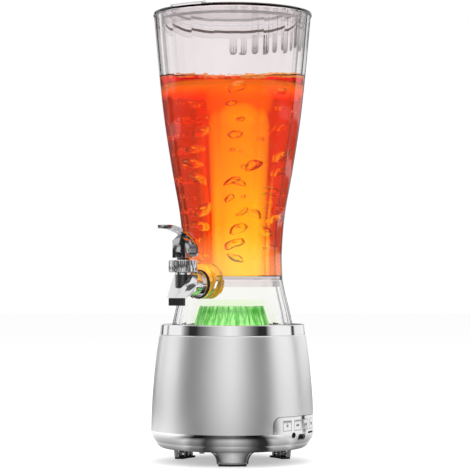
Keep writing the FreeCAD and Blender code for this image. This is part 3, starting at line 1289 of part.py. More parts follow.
def battery():
    """Two cells one above the other in an open tray beside the loudspeaker."""
    span, depth = "(cell_length + 2 * slip_gap)", "2 * (cell_radius + slip_gap)"
    rise, inner = "4 * cell_radius", "(cell_reach - cell_radius - slip_gap)"
    outside = block("tray_outside", f"{depth} + 2 * tray_wall", f"{span} + 2 * tray_wall",
                    f"{rise} + tray_wall",
                    f"{inner} - tray_wall", f"-{span} / 2 - tray_wall", "tray_foot", "cell_azimuth")
    inside = block("tray_inside", depth, span, rise, inner, f"-{span} / 2", "tray_top", "cell_azimuth")
    window = block("tray_window", "3 * tray_wall", f"{span} * 0.7", rise, f"{inner} - 2 * tray_wall",
                   f"-{span} * 0.35", "tray_top + cell_radius", "cell_azimuth")
    node("battery_tray", cut("battery_tray", outside, [inside, window]))
    cells = []
    for level in ("1", "3"):
        cell = new_body("battery_cell")
        pad(cell, "XZ_Plane", [("0", "0", "cell_radius")], "-cell_length / 2", "cell_length")
        cells.append(place(cell, "cell_reach", "0", f"tray_top + {level} * (cell_radius + cell_gap)",
                           "cell_azimuth"))
    node("battery_cells", group("battery_cells", cells))


def control_panel():
    """Four buttons with their switches on a curved board."""
    for index, name in enumerate(("button_light", "button_prev", "button_play", "button_next")):
        body = new_body(name)
        cap = rectangle("0", "button_middle", "button_width", "button_height")
        flange = rectangle("0", "button_middle", "button_width + 2 * button_flange",
                           "button_height + 2 * button_flange")
        pad(body, "YZ_Plane", flange, "cap_back", "button_flange_depth")
        last = pad(body, "YZ_Plane", cap, "cap_back", "plinth_radius - cap_back")
        front = size("plinth_radius") - 0.1
        fillet(body, last, "button_round", lambda p, e: p.x > front)
        node(name, place(body, turn=button_azimuth(index)))
    strip = new_body("button_board")
    turn(strip, rectangle("strip_reach - board_thick / 2", "button_middle", "board_thick", "button_height"),
         sweep="2 * (panel_half_angle - strip_inset)")
    node("button_board", place(strip, turn="panel_azimuth"))
    switches = []
    for index in range(4):
        body = new_body("switch")
        pad(body, "YZ_Plane", rectangle("0", "button_middle", "switch_size", "switch_size"),
            "strip_reach + 0.1", "switch_depth")
        pad(body, "YZ_Plane", [("0", "button_middle", "switch_size / 4")], "strip_reach + switch_depth",
            "cap_back - button_travel - 0.1 - strip_reach - switch_depth")
        switches.append(place(body, turn=button_azimuth(index)))
    node("tact_switches", group("tact_switches", switches))


def sockets():
    """Audio socket, data socket and card reader side by side on one board."""
    board = block("socket_board", "socket_board_depth", "socket_board_width", "board_thick",
                  "socket_board_reach", "-socket_board_width / 2", "socket_board_foot", "panel_azimuth")
    node("socket_board", board)
    face = "(sqrt(plinth_radius ^ 2 - jack_offset ^ 2) - plinth_wall / 2)"
    barrel = panel_rod("jack_barrel", "jack_barrel", "jack_offset", "jack_height",
                       "socket_front - jack_barrel", f"{face} - socket_front + jack_barrel")
    tail = f"({face} - jack_depth - 2)"
    housing = panel_block("jack_housing", "3 * jack_barrel", "jack_height + jack_barrel - socket_board_top",
                          f"socket_front - {tail}", tail, "jack_offset",
                          "(jack_height + jack_barrel + socket_board_top) / 2")
    bore = panel_rod("jack_bore", "jack_bore", "jack_offset", "jack_height", f"{face} - jack_depth",
                     "jack_depth + 1")
    chamber = panel_rod("jack_chamber", "jack_bore + 0.35", "jack_offset", "jack_height",
                        f"{face} - jack_depth - jack_chamber", "jack_chamber")
    node("aux_jack", cut("aux_jack", fuse("jack_solid", [barrel, housing]), [bore, chamber]))

    back = "(usb_face - usb_depth)"
    can = panel_block("usb_can", "usb_width", "usb_height", "usb_depth", back, "usb_offset", "usb_middle")
    hollow = panel_block("usb_hollow", "usb_width - 2 * usb_skin", "usb_height - 2 * usb_skin", "usb_depth",
                         f"{back} + 1.5", "usb_offset", "usb_middle")
    tongue = panel_block("usb_tongue", "usb_width * 0.7", "1.6", "usb_depth - 4", f"{back} + 1",
                         "usb_offset", "usb_middle + 0.2 * usb_height")
    foot = panel_block("usb_foot", "usb_width - 2",
                       "usb_middle - usb_height / 2 + usb_skin - socket_board_top",
                       f"socket_front - {back}", back, "usb_offset",
                       "(usb_middle - usb_height / 2 + usb_skin + socket_board_top) / 2")
    node("usb_port", fuse("usb_port", [cut("usb_open", can, [hollow]), tongue, foot]))

    width, top = "(slot_width + 2 * reader_wall)", "(slot_middle + slot_height / 2 + 1.5 * reader_wall)"
    reader = panel_block("reader_housing", width, f"{top} - socket_board_top", "reader_depth",
                         "reader_face - reader_depth", "slot_offset", f"({top} + socket_board_top) / 2")
    slit = panel_block("reader_slit", "slot_width - 0.4", "slot_height", "reader_depth",
                       "reader_face - reader_depth + 1.5", "slot_offset", "slot_middle")
    node("card_reader", cut("card_reader", reader, [slit]))


def lead(name, points):
    """A round lead along straight runs joined by tangent arcs."""
    spots = [V(*(size(c) for c in point)) for point in points]
    edges, here = [], spots[0]
    for before, corner, after in zip(spots, spots[1:], spots[2:]):
        into, out = (corner - before), (after - corner)
        turn_angle = into.getAngle(out)
        radius = 0.45 * min(into.Length, out.Length) / math.tan(turn_angle / 2)
        back = radius * math.tan(turn_angle / 2)
        start = corner - into.normalize() * back
        end = corner + out.normalize() * back
        inside = (start + end) * 0.5 - corner
        centre = corner + inside.normalize() * (radius / math.cos(turn_angle / 2))
        middle = centre + (corner - centre).normalize() * radius
        edges.append(Part.makeLine(here, start))
        edges.append(Part.Arc(start, middle, end).toShape())
        here = end
    edges.append(Part.makeLine(here, spots[-1]))
    path = Part.Wire(edges)
    first = edges[0]
    direction = first.Vertexes[1].Point - first.Vertexes[0].Point
    ring = Part.Wire(Part.makeCircle(size("lead_radius"), spots[0], direction))
    return node(name, shaped(name, path.makePipeShell([ring], True, True)))


def leads():
    """Leads from the main board to the lights, the loudspeaker and the battery."""
    lead("led_lead", [("0", "24.5", "board_top + header_rise"), ("0", "24.5", "board_top + 22"),
                      ("0", "0", "deck_top - 22"), ("0", "0", "deck_top")])
    flange = "(speaker_radius - 1.3)"
    lead("speaker_lead", [("30", "0", "board_foot"), ("30", "0", "board_foot - 9"),
                          (flange, "0", "board_foot - 21"), (flange, "0", "basket_foot")])
    middle = "tray_top + 3 * (cell_radius + cell_gap)"
    lead("battery_lead", [("4 - board_length / 2", "10", "board_foot"),
                          ("4 - board_length / 2", "10", middle),
                          ("cell_radius - cell_reach + 0.05", "10", middle)])


def build():
    for label, azimuth in LEG_AZIMUTHS.items():
        leg(label, azimuth)
    foot_pads()
    plinth()
    base_shell()
    collar_ring()
    light_deck()
    led_board()
    leds()
    led_lens()
    tower_vessel()
    tower_skirt()
    tap_body()
    tap_outlet()
    ring_on_shank("tap_outer_washer", "washer_radius", "washer_face", "washer_thick")
    ring_on_shank("tap_inner_washer", "inner_washer_radius", "well_inner_face - washer_thick", "washer_thick")
    tap_lock_nut()
    tap_cap()
    tap_cap_washer()
    tap_spring()
    tap_stem()
    seat_plug()
    lever_pin()
    tap_lever()
    lid()
    lid_seal()
    bottom_cover()
    screws()
    loudspeaker()
    main_board()
    battery()
    control_panel()
    sockets()
    leads()


def check_and_write():
    """Stop on anything that failed, then write one file for each sub-part."""
    DOC.recompute()
    bad = [f"{thing.Label} {thing.State}" for thing in DOC.Objects
           if "Invalid" in thing.State or "Error" in thing.State]
    for label, thing in NODES.items():
        shape = thing.Shape
        if shape.isNull() or not shape.isValid() or not shape.Solids:
            bad.append(f"{label} has no valid solid")
    if bad:
        raise RuntimeError("; ".join(bad))
    os.makedirs("parts", exist_ok=True)
    for label, thing in NODES.items():
        thing.Shape.exportStep(f"parts/{label}.step")
        print(label, len(thing.Shape.Solids), round(thing.Shape.Volume))


build()
check_and_write()
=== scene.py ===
import bpy
import bmesh
import json
import math
import random
from mathutils import Matrix, Vector

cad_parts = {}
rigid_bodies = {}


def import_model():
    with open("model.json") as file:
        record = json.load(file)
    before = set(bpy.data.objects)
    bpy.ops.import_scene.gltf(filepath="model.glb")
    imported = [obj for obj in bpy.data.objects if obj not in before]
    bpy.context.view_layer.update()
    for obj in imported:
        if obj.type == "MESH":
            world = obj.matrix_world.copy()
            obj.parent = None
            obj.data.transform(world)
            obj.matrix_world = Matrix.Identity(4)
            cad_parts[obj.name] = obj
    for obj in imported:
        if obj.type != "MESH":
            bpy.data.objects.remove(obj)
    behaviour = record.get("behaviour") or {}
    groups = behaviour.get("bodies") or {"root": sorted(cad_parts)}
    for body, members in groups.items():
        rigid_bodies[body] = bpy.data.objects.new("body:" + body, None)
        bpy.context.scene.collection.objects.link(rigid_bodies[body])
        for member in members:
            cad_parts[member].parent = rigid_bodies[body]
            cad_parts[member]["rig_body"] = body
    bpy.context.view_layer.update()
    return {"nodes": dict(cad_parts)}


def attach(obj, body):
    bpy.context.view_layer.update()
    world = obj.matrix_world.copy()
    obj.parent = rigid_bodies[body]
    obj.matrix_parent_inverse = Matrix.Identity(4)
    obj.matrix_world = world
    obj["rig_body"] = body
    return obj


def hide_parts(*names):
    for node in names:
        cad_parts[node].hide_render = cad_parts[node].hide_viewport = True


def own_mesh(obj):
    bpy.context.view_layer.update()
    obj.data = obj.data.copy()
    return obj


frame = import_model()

cad = frame["nodes"]

# ---- The table and the light ----
# A pale table top that runs out of sight, a white surround, and soft lamps above and to both sides.
# Tall dark cards stand beside the white ones, so that chrome shows the bands it has in a studio.

scene = bpy.context.scene
scene.view_settings.view_transform = "Standard"

TABLE_WHITE = (0.86, 0.86, 0.865, 1)
TABLE_HALF = 9.0
TABLE_SHADE = [  # how much of the cards the table mirrors, by distance from the axis in metres
    (0.0, 0.0), (0.05, 0.03), (0.11, 0.55), (0.22, 0.9), (0.6, 1.0), (0.75, 1.0), (0.88, 0.10), (4.1, 0.10),
    (4.4, 1.0), (6.4, 1.0), (6.8, 0.10),
]
CARDS = [  # direction round the object in degrees, 0 at the front and 90 at its right, and brightness
    (-180, 0.15), (-176, 1.0), (-160, 1.0), (-156, 0.12), (-148, 0.12), (-144, 1.0), (-131, 1.0), (-126, 0.3),
    (-121, 1.0), (-92, 1.0), (-82, 0.30), (-72, 0.03), (-60, 0.03),
    (-44, 0.22), (-26, 0.62), (-6, 0.98), (6, 0.90), (20, 0.46), (34, 0.14), (43, 0.025), (55, 0.03),
    (66, 0.85), (74, 1.0), (106, 1.0), (110, 0.05), (114, 0.06), (119, 0.9), (166, 1.0),
    (170, 0.12), (180, 0.15),
]
FLAGS = [  # the same for light that comes through clear pieces: a white surround with narrow dark flags
    (-180, 1.0), (-166, 1.0), (-161, 0.7), (-157, 0.7), (-152, 1.0), (-141, 1.0), (-136, 0.62), (-126, 0.62),
    (-120, 1.0), (-104, 1.0), (-98, 0.35), (-90, 0.9), (-66, 1.0), (-60, 0.2), (-50, 0.2), (-44, 1.0),
    (-14, 1.0), (-8, 0.2), (-2, 1.0), (24, 1.0), (30, 0.1), (40, 0.1), (46, 1.0), (78, 0.9), (86, 0.1),
    (94, 1.0), (118, 1.0), (124, 0.16), (134, 0.16), (140, 1.0), (160, 0.4), (166, 1.0),
]
NEAR_CARDS = [  # the cards as the table mirrors them a hand's width from the foot
    (-180, 1.0), (-79, 1.35), (-66, 1.15), (-55, 0.40), (-44, 0.01), (-35, 0.0), (-25, 0.04), (-17, 0.12),
    (0, 0.20), (8, 0.11), (16, 0.02), (25, 0.0), (34, 0.02), (43, 0.50), (53, 1.15), (64, 1.10), (80, 1.0),
    (180, 1.0),
]
UNDER_CARDS = [  # and close under the rolled lip
    (-180, 0.9), (-70, 1.1), (-59, 1.2), (-49, 1.5), (-41, 0.65), (-33, 0.5), (-26, 0.07), (-20, 0.25),
    (-13, 0.8), (0, 1.3), (6, 1.05), (13, 0.65), (19, 0.22), (26, 0.03), (33, 0.03), (40, 1.2), (56, 1.2),
    (63, 1.6), (75, 0.9), (180, 0.9),
]
ROOM_LIGHT = (0.62, 0.62, 0.62)
UNDER_HORIZON = (0.08, 0.08, 0.08)
OVERHEAD = (0.95, 0.95, 0.95)
WHITE = (1.0, 1.0, 1.0)
TABLE_GLOW = 0.445
TABLE_DARK = (0.03, 0.03, 0.03)
LAMP_AIM = (0, 0, 0.2)


def wire(tree, source, target):
    """Join a socket to the target, or set the target to a number or a colour."""
    if isinstance(source, (int, float)):
        target.default_value = source
    elif isinstance(source, tuple):
        target.default_value = (*source[:3], 1)
    else:
        tree.links.new(source, target)


def sum_node(tree, operation, first, second=None):
    """A maths node; each input is a number or a socket."""
    node = tree.nodes.new("ShaderNodeMath")
    node.operation = operation
    for socket, given in zip(node.inputs, (first, second)):
        if given is not None:
            wire(tree, given, socket)
    return node.outputs[0]


def ramp_node(tree, fac, stops):
    """A colour ramp; a stop is (place, grey) or (place, colour), and the stops come in order."""
    node = tree.nodes.new("ShaderNodeValToRGB")
    ramp = node.color_ramp
    while len(ramp.elements) < len(stops):
        ramp.elements.new(0.5)
    for element, (place, colour) in zip(ramp.elements, stops):
        element.position = place
        element.color = (*colour[:3], 1) if isinstance(colour, tuple) else (colour, colour, colour, 1)
    wire(tree, fac, node.inputs[0])
    return node.outputs[0]


def mix_node(tree, fac, first, second):
    """A colour mix; each input is a number, a colour or a socket."""
    node = tree.nodes.new("ShaderNodeMix")
    node.data_type = "RGBA"
    for number, given in ((0, fac), (6, first), (7, second)):
        wire(tree, given, node.inputs[number])
    return node.outputs[2]


def round_place(tree, source):
    """Where a direction or a spot lies round the object, 0 to 1, with the front in the middle."""
    split = tree.nodes.new("ShaderNodeSeparateXYZ")
    wire(tree, source, split.inputs[0])
    behind = sum_node(tree, "MULTIPLY", split.outputs["Y"], -1.0)
    angle = sum_node(tree, "ARCTAN2", split.outputs["X"], behind)
    return sum_node(tree, "ADD", sum_node(tree, "DIVIDE", angle, 2 * math.pi), 0.5), split.outputs["Z"]


def card_stops(cards):
    """Cards as the stops of a ramp."""
    return [(degrees / 360 + 0.5, grey) for degrees, grey in cards]


def put(name, data):
    """Put an object in the scene."""
    thing = bpy.data.objects.new(name, data)
    scene.collection.objects.link(thing)
    return thing


def build_surround():
    """White for the camera, cards for what mirrors, flags for what is seen through clear pieces."""
    world = bpy.data.worlds.new("surround")
    scene.world = world
    world.use_nodes = True
    tree = world.node_tree
    tree.nodes.clear()
    towards = tree.nodes.new("ShaderNodeTexCoord")
    place, up = round_place(tree, towards.outputs["Generated"])
    cards = ramp_node(tree, place, card_stops(CARDS))
    overhead = ramp_node(tree, up, [(0.0, 0.0), (0.55, 0.0), (0.8, 1.0)])
    horizon = ramp_node(tree, sum_node(tree, "ADD", up, 0.5), [(0.0, 0.10), (0.494, 0.10), (0.499, 1.0)])
    mirrored = mix_node(tree, overhead, mix_node(tree, horizon, UNDER_HORIZON, cards), OVERHEAD)
    path = tree.nodes.new("ShaderNodeLightPath")
    lit = mix_node(tree, path.outputs["Is Glossy Ray"], ROOM_LIGHT, mirrored)
    flags = ramp_node(tree, place, card_stops(FLAGS))
    bright = mix_node(tree, ramp_node(tree, up, [(0.0, 0.0), (0.5, 0.0), (0.7, 1.0)]), flags, WHITE)
    seen_through = mix_node(tree, path.outputs["Is Transmission Ray"], lit, bright)
    shown = mix_node(tree, path.outputs["Is Camera Ray"], seen_through, WHITE)
    glow = tree.nodes.new("ShaderNodeBackground")
    wire(tree, shown, glow.inputs["Color"])
    out = tree.nodes.new("ShaderNodeOutputWorld")
    wire(tree, glow.outputs[0], out.inputs["Surface"])


def build_table():
    """A white table that mirrors the cards near the foot and little of them further out."""
    mesh = bpy.data.meshes.new("table")
    shape = bmesh.new()
    bmesh.ops.create_grid(shape, x_segments=24, y_segments=24, size=TABLE_HALF)
    shape.to_mesh(mesh)
    shape.free()
    table = put("table", mesh)
    white = bpy.data.materials.new("table_white")
    white.use_nodes = True
    tree = white.node_tree
    tree.nodes.clear()
    path = tree.nodes.new("ShaderNodeLightPath")
    matt = tree.nodes.new("ShaderNodeBsdfDiffuse")
    matt.inputs["Color"].default_value = TABLE_WHITE
    shine = tree.nodes.new("ShaderNodeEmission")
    seen = sum_node(tree, "MAXIMUM", path.outputs["Is Camera Ray"], path.outputs["Is Transmission Ray"])
    wire(tree, sum_node(tree, "MULTIPLY", seen, TABLE_GLOW), shine.inputs["Strength"])
    both = tree.nodes.new("ShaderNodeAddShader")
    wire(tree, matt.outputs[0], both.inputs[0])
    wire(tree, shine.outputs[0], both.inputs[1])
    spot = tree.nodes.new("ShaderNodeTexCoord")
    place, _ = round_place(tree, spot.outputs["Object"])
    far = tree.nodes.new("ShaderNodeVectorMath")
    far.operation = "LENGTH"
    wire(tree, spot.outputs["Object"], far.inputs[0])
    share = sum_node(tree, "DIVIDE", far.outputs["Value"], TABLE_HALF)
    shade = ramp_node(tree, share, [(reach / TABLE_HALF, grey) for reach, grey in TABLE_SHADE])
    cards = ramp_node(tree, place, card_stops(UNDER_CARDS))
    for start, end, stops in ((0.115, 0.14, NEAR_CARDS), (0.35, 0.50, CARDS)):
        further = ramp_node(tree, share, [(0.0, 0.0), (start / TABLE_HALF, 0.0), (end / TABLE_HALF, 1.0)])
        cards = mix_node(tree, further, cards, ramp_node(tree, place, card_stops(stops)))
    mirrored = mix_node(tree, shade, TABLE_DARK, cards)
    dark = tree.nodes.new("ShaderNodeEmission")
    wire(tree, mirrored, dark.inputs["Color"])
    choose = tree.nodes.new("ShaderNodeMixShader")
    through = sum_node(tree, "SUBTRACT", 1.0, path.outputs["Is Transmission Ray"])
    wire(tree, sum_node(tree, "MULTIPLY", path.outputs["Is Glossy Ray"], through), choose.inputs[0])
    wire(tree, both.outputs[0], choose.inputs[1])
    wire(tree, dark.outputs[0], choose.inputs[2])
    out = tree.nodes.new("ShaderNodeOutputMaterial")
    wire(tree, choose.outputs[0], out.inputs["Surface"])
    mesh.materials.append(white)


def hang_lamp(name, place, width, height, power):
    """A soft lamp that lights the object and isn't seen itself."""
    lamp = bpy.data.lights.new(name, "AREA")
    lamp.shape = "RECTANGLE"
    lamp.size, lamp.size_y = width, height
    lamp.energy = power
    holder = put(name, lamp)
    holder.location = place
    holder.rotation_euler = (Vector(LAMP_AIM) - Vector(place)).to_track_quat("-Z", "Y").to_euler()
    holder.visible_glossy = False
    holder.visible_transmission = False


build_surround()
build_table()
hang_lamp("lamp_above", (0.0, -0.3, 1.9), 1.6, 1.6, 9)
hang_lamp("lamp_left", (-1.5, -1.2, 0.9), 0.8, 1.4, 5)
hang_lamp("lamp_right", (1.5, -1.1, 0.9), 0.8, 1.4, 5)
hang_lamp("lamp_back", (0.2, 1.6, 1.0), 1.6, 1.0, 4)

EYE = Vector((0.0, -1.835, 0.176))
camera = bpy.data.cameras.new("camera")
camera.lens = 140.6
camera.sensor_width = 36.0
camera.shift_x = 0.0053
camera.clip_start, camera.clip_end = 0.05, 50
camera_stand = put("camera", camera)
camera_stand.location = EYE
camera_stand.rotation_euler = (math.radians(91.53), 0, 0)
scene.camera = camera_stand

# ---- Legs and foot pads ----
# Three curved legs, die cast and chromed like the plinth above them, ribbed at the back.
# Each stands on a black rubber pad that is glued into its foot.

MM = 0.001
SHARP = 30

def new_group(name, inputs, outputs):
    """A shared effect: inputs are (name, kind, value), outputs (name, kind).  It comes with the place
    on the object, which every effect starts from."""
    group = bpy.data.node_groups.new(name, "ShaderNodeTree")
    for label, kind, value in inputs:
        socket = group.interface.new_socket(name=label, in_out="INPUT", socket_type="NodeSocket" + kind)
        socket.default_value = value
    for label, kind in outputs:
        group.interface.new_socket(name=label, in_out="OUTPUT", socket_type="NodeSocket" + kind)
    start = group.nodes.new("NodeGroupInput")
    end = group.nodes.new("NodeGroupOutput")
    spot = group.nodes.new("ShaderNodeTexCoord").outputs["Object"]
    return group, spot, start.outputs, end.inputs


def noise_node(tree, vector, scale, detail=3.0):
    """Noise of a scale, which is a number or a socket."""
    node = tree.nodes.new("ShaderNodeTexNoise")
    node.inputs["Detail"].default_value = detail
    wire(tree, vector, node.inputs["Vector"])
    wire(tree, scale, node.inputs["Scale"])
    return node.outputs["Fac"]


def range_node(tree, value, low, high):
    """Noise, which keeps near the middle, spread between two values."""
    node = tree.nodes.new("ShaderNodeMapRange")
    node.clamp = False
    node.inputs["From Min"].default_value = 0.3
    node.inputs["From Max"].default_value = 0.7
    wire(tree, value, node.inputs["Value"])
    wire(tree, low, node.inputs["To Min"])
    wire(tree, high, node.inputs["To Max"])
    return node.outputs["Result"]


# handling marks: soft patches that lift or lower the roughness
handling, spot, given, made = new_group(
    "handling_marks", [("Scale", "Float", 30.0), ("Low", "Float", 0.2), ("High", "Float", 0.3)],
    [("Roughness", "Float")])
wire(handling, range_node(handling, noise_node(handling, spot, given["Scale"]), given["Low"], given["High"]),
     made["Roughness"])

# cast tone: a colour that drifts a little over the surface
toning, spot, given, made = new_group(
    "tone_drift", [("Colour", "Color", (1, 1, 1, 1)), ("Depth", "Float", 0.05), ("Scale", "Float", 12.0)],
    [("Colour", "Color")])
drift = range_node(toning, noise_node(toning, spot, given["Scale"]), 0.0, given["Depth"])
wire(toning, mix_node(toning, drift, given["Colour"], (0.0, 0.0, 0.0)), made["Colour"])

# fine surface: grain, moulding texture or brushing, as a normal
graining, spot, given, made = new_group(
    "surface_grain", [("Stretch", "Vector", (1, 1, 1)), ("Scale", "Float", 900.0), ("Depth", "Float", 0.05)],
    [("Normal", "Vector")])
stretched = graining.nodes.new("ShaderNodeVectorMath")
stretched.operation = "MULTIPLY"
wire(graining, spot, stretched.inputs[0])
wire(graining, given["Stretch"], stretched.inputs[1])
raised = graining.nodes.new("ShaderNodeBump")
raised.inputs["Distance"].default_value = 0.0004
wire(graining, noise_node(graining, stretched.outputs[0], given["Scale"], 4.0), raised.inputs["Height"])
wire(graining, given["Depth"], raised.inputs["Strength"])
wire(graining, raised.outputs[0], made["Normal"])


def use_group(tree, group, **values):
    """Place a shared effect in a material with its own values."""
    node = tree.nodes.new("ShaderNodeGroup")
    node.node_tree = group
    for label, value in values.items():
        node.inputs[label].default_value = value
    return node.outputs[0]


def finish(name, colour, low, high, metallic=0.0, drift=0.05, drift_scale=12.0, grain=0.05,
           grain_scale=900.0, stretch=(1, 1, 1), **plain):
    """A finish with drifting tone, handling marks and fine grain.  Plain values go on the shader."""
    material = bpy.data.materials.new(name)
    material.use_nodes = True
    tree = material.node_tree
    shader = tree.nodes["Principled BSDF"]
    shader.inputs["Metallic"].default_value = metallic
    for label, value in plain.items():
        shader.inputs[label.replace("_", " ")].default_value = value
    tone = use_group(tree, toning, Colour=(*colour, 1), Depth=drift, Scale=drift_scale)
    wire(tree, tone, shader.inputs["Base Color"])
    wire(tree, use_group(tree, handling, Low=low, High=high), shader.inputs["Roughness"])
    if grain:
        wire(tree, use_group(tree, graining, Stretch=stretch, Scale=grain_scale, Depth=grain),
             shader.inputs["Normal"])
    return material


def dress(thing, material, sharp=SHARP):
    """Give a CAD node or a piece its finish, with smooth faces between its sharp edges."""
    piece = cad[thing] if isinstance(thing, str) else thing
    mesh = piece.data
    mesh.materials.clear()
    mesh.materials.append(material)
    for face in mesh.polygons:
        face.material_index = 0
        face.use_smooth = True
    mesh.set_sharp_from_angle(angle=math.radians(sharp))


def new_piece(name, points, faces):
    """A piece from points in millimetres."""
    mesh = bpy.data.meshes.new(name)
    mesh.from_pydata([(x * MM, y * MM, z * MM) for x, y, z in points], [], faces)
    piece = put(name, mesh)
    shape = bmesh.new()
    shape.from_mesh(mesh)
    bmesh.ops.remove_doubles(shape, verts=shape.verts, dist=0.000002)
    bmesh.ops.dissolve_degenerate(shape, edges=shape.edges, dist=0.000001)
    bmesh.ops.recalc_face_normals(shape, faces=shape.faces)
    shape.to_mesh(mesh)
    shape.free()
    return piece


def grid_faces(across, up, start=0):
    """Faces of a grid of points that runs across, then up."""
    faces = []
    for row in range(up - 1):
        for column in range(across - 1):
            here = start + row * across + column
            faces.append((here, here + 1, here + across + 1, here + across))
    return faces


def box_of(points, faces, low, high):
    """Add a plain block between two corners."""
    start = len(points)
    for z in (low[2], high[2]):
        for x, y in ((low[0], low[1]), (high[0], low[1]), (high[0], high[1]), (low[0], high[1])):
            points.append((x, y, z))
    for corners in ((0, 1, 2, 3), (4, 5, 6, 7), (0, 1, 5, 4), (1, 2, 6, 5), (2, 3, 7, 6), (3, 0, 4, 7)):
        faces.append(tuple(start + corner for corner in corners))


LEG_FOOT, LEG_TOP, LEG_REACH, LEG_DEPTH = 2.0, 14.0, 62.0, 10.5
LEG_HALF_FOOT, LEG_HALF_TOP, LEG_SKIN, LEG_BULGE = 15.25, 24.0, 2.6, 5.2
LEG_FLARE, LEG_DRAFT, LEG_SETBACK, LEG_EASE = 5.0, 0.12, 0.9, 0.3
LEG_BEAD, LEG_BEAD_START = 1.1, 0.84
LEG_RIB, LEG_RIB_PITCH, LEG_RIB_FRONT = 2.4, 6.8, 57.6
LEG_WEB_HALF, LEG_WEB_FRONT, LEG_WEB_FOOT = 14.0, 56.5, 12.4


def leg(name, node, turn_by):
    """A leg with a round front, beaded at both edges, that flares into the plinth, and ribs behind it."""
    columns, rows = 49, [LEG_FOOT, 2.3, 3.0, 4.0]
    rows += [LEG_FLARE + (LEG_TOP - LEG_FLARE) * math.sin(step * math.pi / 24) for step in range(13)]
    points = []
    for skin in (0.0, LEG_SKIN):
        for height in rows:
            flare = max(0.0, (height - LEG_FLARE) / (LEG_TOP - LEG_FLARE))
            open_by = 1 - math.sqrt(max(0.0, 1 - flare ** 2))
            half = LEG_HALF_FOOT + LEG_DRAFT * (height - LEG_FOOT) - skin * 0.6
            half += (LEG_HALF_TOP - LEG_HALF_FOOT - LEG_DRAFT * (LEG_TOP - LEG_FOOT)) * open_by
            eased = LEG_EASE * max(0.0, 3 - height)
            half -= eased
            reach = LEG_REACH - LEG_SETBACK * (1 - open_by) - skin - eased
            for column in range(columns):
                across = math.sin(math.pi * (column / (columns - 1) - 0.5))
                bulge = LEG_BULGE * (1 - math.sqrt(max(0.0, 1 - 0.94 * across ** 2)))
                beaded = max(0.0, (abs(across) - LEG_BEAD_START) / (1 - LEG_BEAD_START))
                bead = LEG_BEAD * math.sin(math.pi * beaded) * (1 - skin / LEG_SKIN)
                points.append((half * across, -(reach - bulge + bead), height))
    count = columns * len(rows)
    faces = grid_faces(columns, len(rows)) + grid_faces(columns, len(rows), count)
    for column in range(columns - 1):
        for here in (column, (len(rows) - 1) * columns + column):
            faces.append((here, here + 1, count + here + 1, count + here))
    for row in range(len(rows) - 1):
        for edge in (0, columns - 1):
            here = row * columns + edge
            faces.append((here, here + columns, count + here + columns, count + here))
    inner = -(LEG_REACH - LEG_DEPTH)
    for step in (-1, 0, 1):
        middle = step * LEG_RIB_PITCH
        box_of(points, faces, (middle - LEG_RIB / 2, -LEG_RIB_FRONT, LEG_FOOT + 0.4),
               (middle + LEG_RIB / 2, inner, LEG_WEB_FOOT + 0.2))
    box_of(points, faces, (-LEG_WEB_HALF, -LEG_WEB_FRONT, LEG_WEB_FOOT), (LEG_WEB_HALF, inner, LEG_TOP))
    piece = new_piece(name, points, faces)
    piece.data.transform(Matrix.Rotation(math.radians(turn_by), 4, "Z"))
    dress(piece, chrome, sharp=40)
    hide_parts(node)
    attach(piece, "base")


chrome = finish("chrome_plate", (0.88, 0.88, 0.89), 0.03, 0.07, metallic=1.0, drift=0.04, grain=0.0)
pad_rubber = finish("pad_rubber", (0.030, 0.030, 0.032), 0.62, 0.80, drift=0.3, grain=0.35, grain_scale=2600)
for name, turn_by in (("leg_front", 0), ("leg_rear_right", 120), ("leg_rear_left", -120)):
    leg(name + "_cast", name, turn_by)
dress("foot_pads", pad_rubber)

# ---- Plinth ----
# Die-cast zinc, polished and chromed: a ring with a rolled lip at the bottom and a tongue that
# stands up into the shell as the control panel.

dress("plinth", chrome)

# ---- Bottom cover, loudspeaker, boards and battery ----
# The black moulded cover closes the plinth and carries the loudspeaker, the main board on its four
# posts and the battery in its tray.  None of it shows from outside but the cover and its grille.

cover_plastic = finish("cover_plastic", (0.028, 0.028, 0.030), 0.45, 0.62, drift=0.2, grain=0.4,
                       grain_scale=1800)
plain_steel = finish("plain_steel", (0.56, 0.56, 0.57), 0.30, 0.38, metallic=1.0, grain=0.12,
                     grain_scale=700, stretch=(1, 1, 6))
frame_paint = finish("speaker_frame_paint", (0.030, 0.030, 0.030), 0.38, 0.50, drift=0.2, grain=0.2)
cone_paper = finish("cone_paper", (0.055, 0.052, 0.050), 0.78, 0.92, drift=0.4, drift_scale=60, grain=0.6,
                    grain_scale=1500)
ferrite = finish("ferrite", (0.075, 0.072, 0.070), 0.60, 0.78, drift=0.3, drift_scale=90, grain=0.5)
board_mask = finish("board_mask", (0.012, 0.135, 0.060), 0.30, 0.42, drift=0.35, drift_scale=180, grain=0.25,
                    grain_scale=1200, Coat_Weight=0.3)
chip_black = finish("chip_black", (0.018, 0.018, 0.020), 0.48, 0.60, drift=0.2, grain=0.3, grain_scale=2400)
cell_sleeve = finish("cell_sleeve", (0.055, 0.205, 0.390), 0.25, 0.34, drift=0.12, grain=0.1, Coat_Weight=0.5)
lead_sheath = finish("lead_sheath", (0.42, 0.030, 0.022), 0.42, 0.55, drift=0.15, grain=0.15)
coil_wire = finish("coil_wire", (0.62, 0.24, 0.10), 0.28, 0.38, metallic=1.0, grain=0.5, grain_scale=300,
                   stretch=(1, 1, 14))

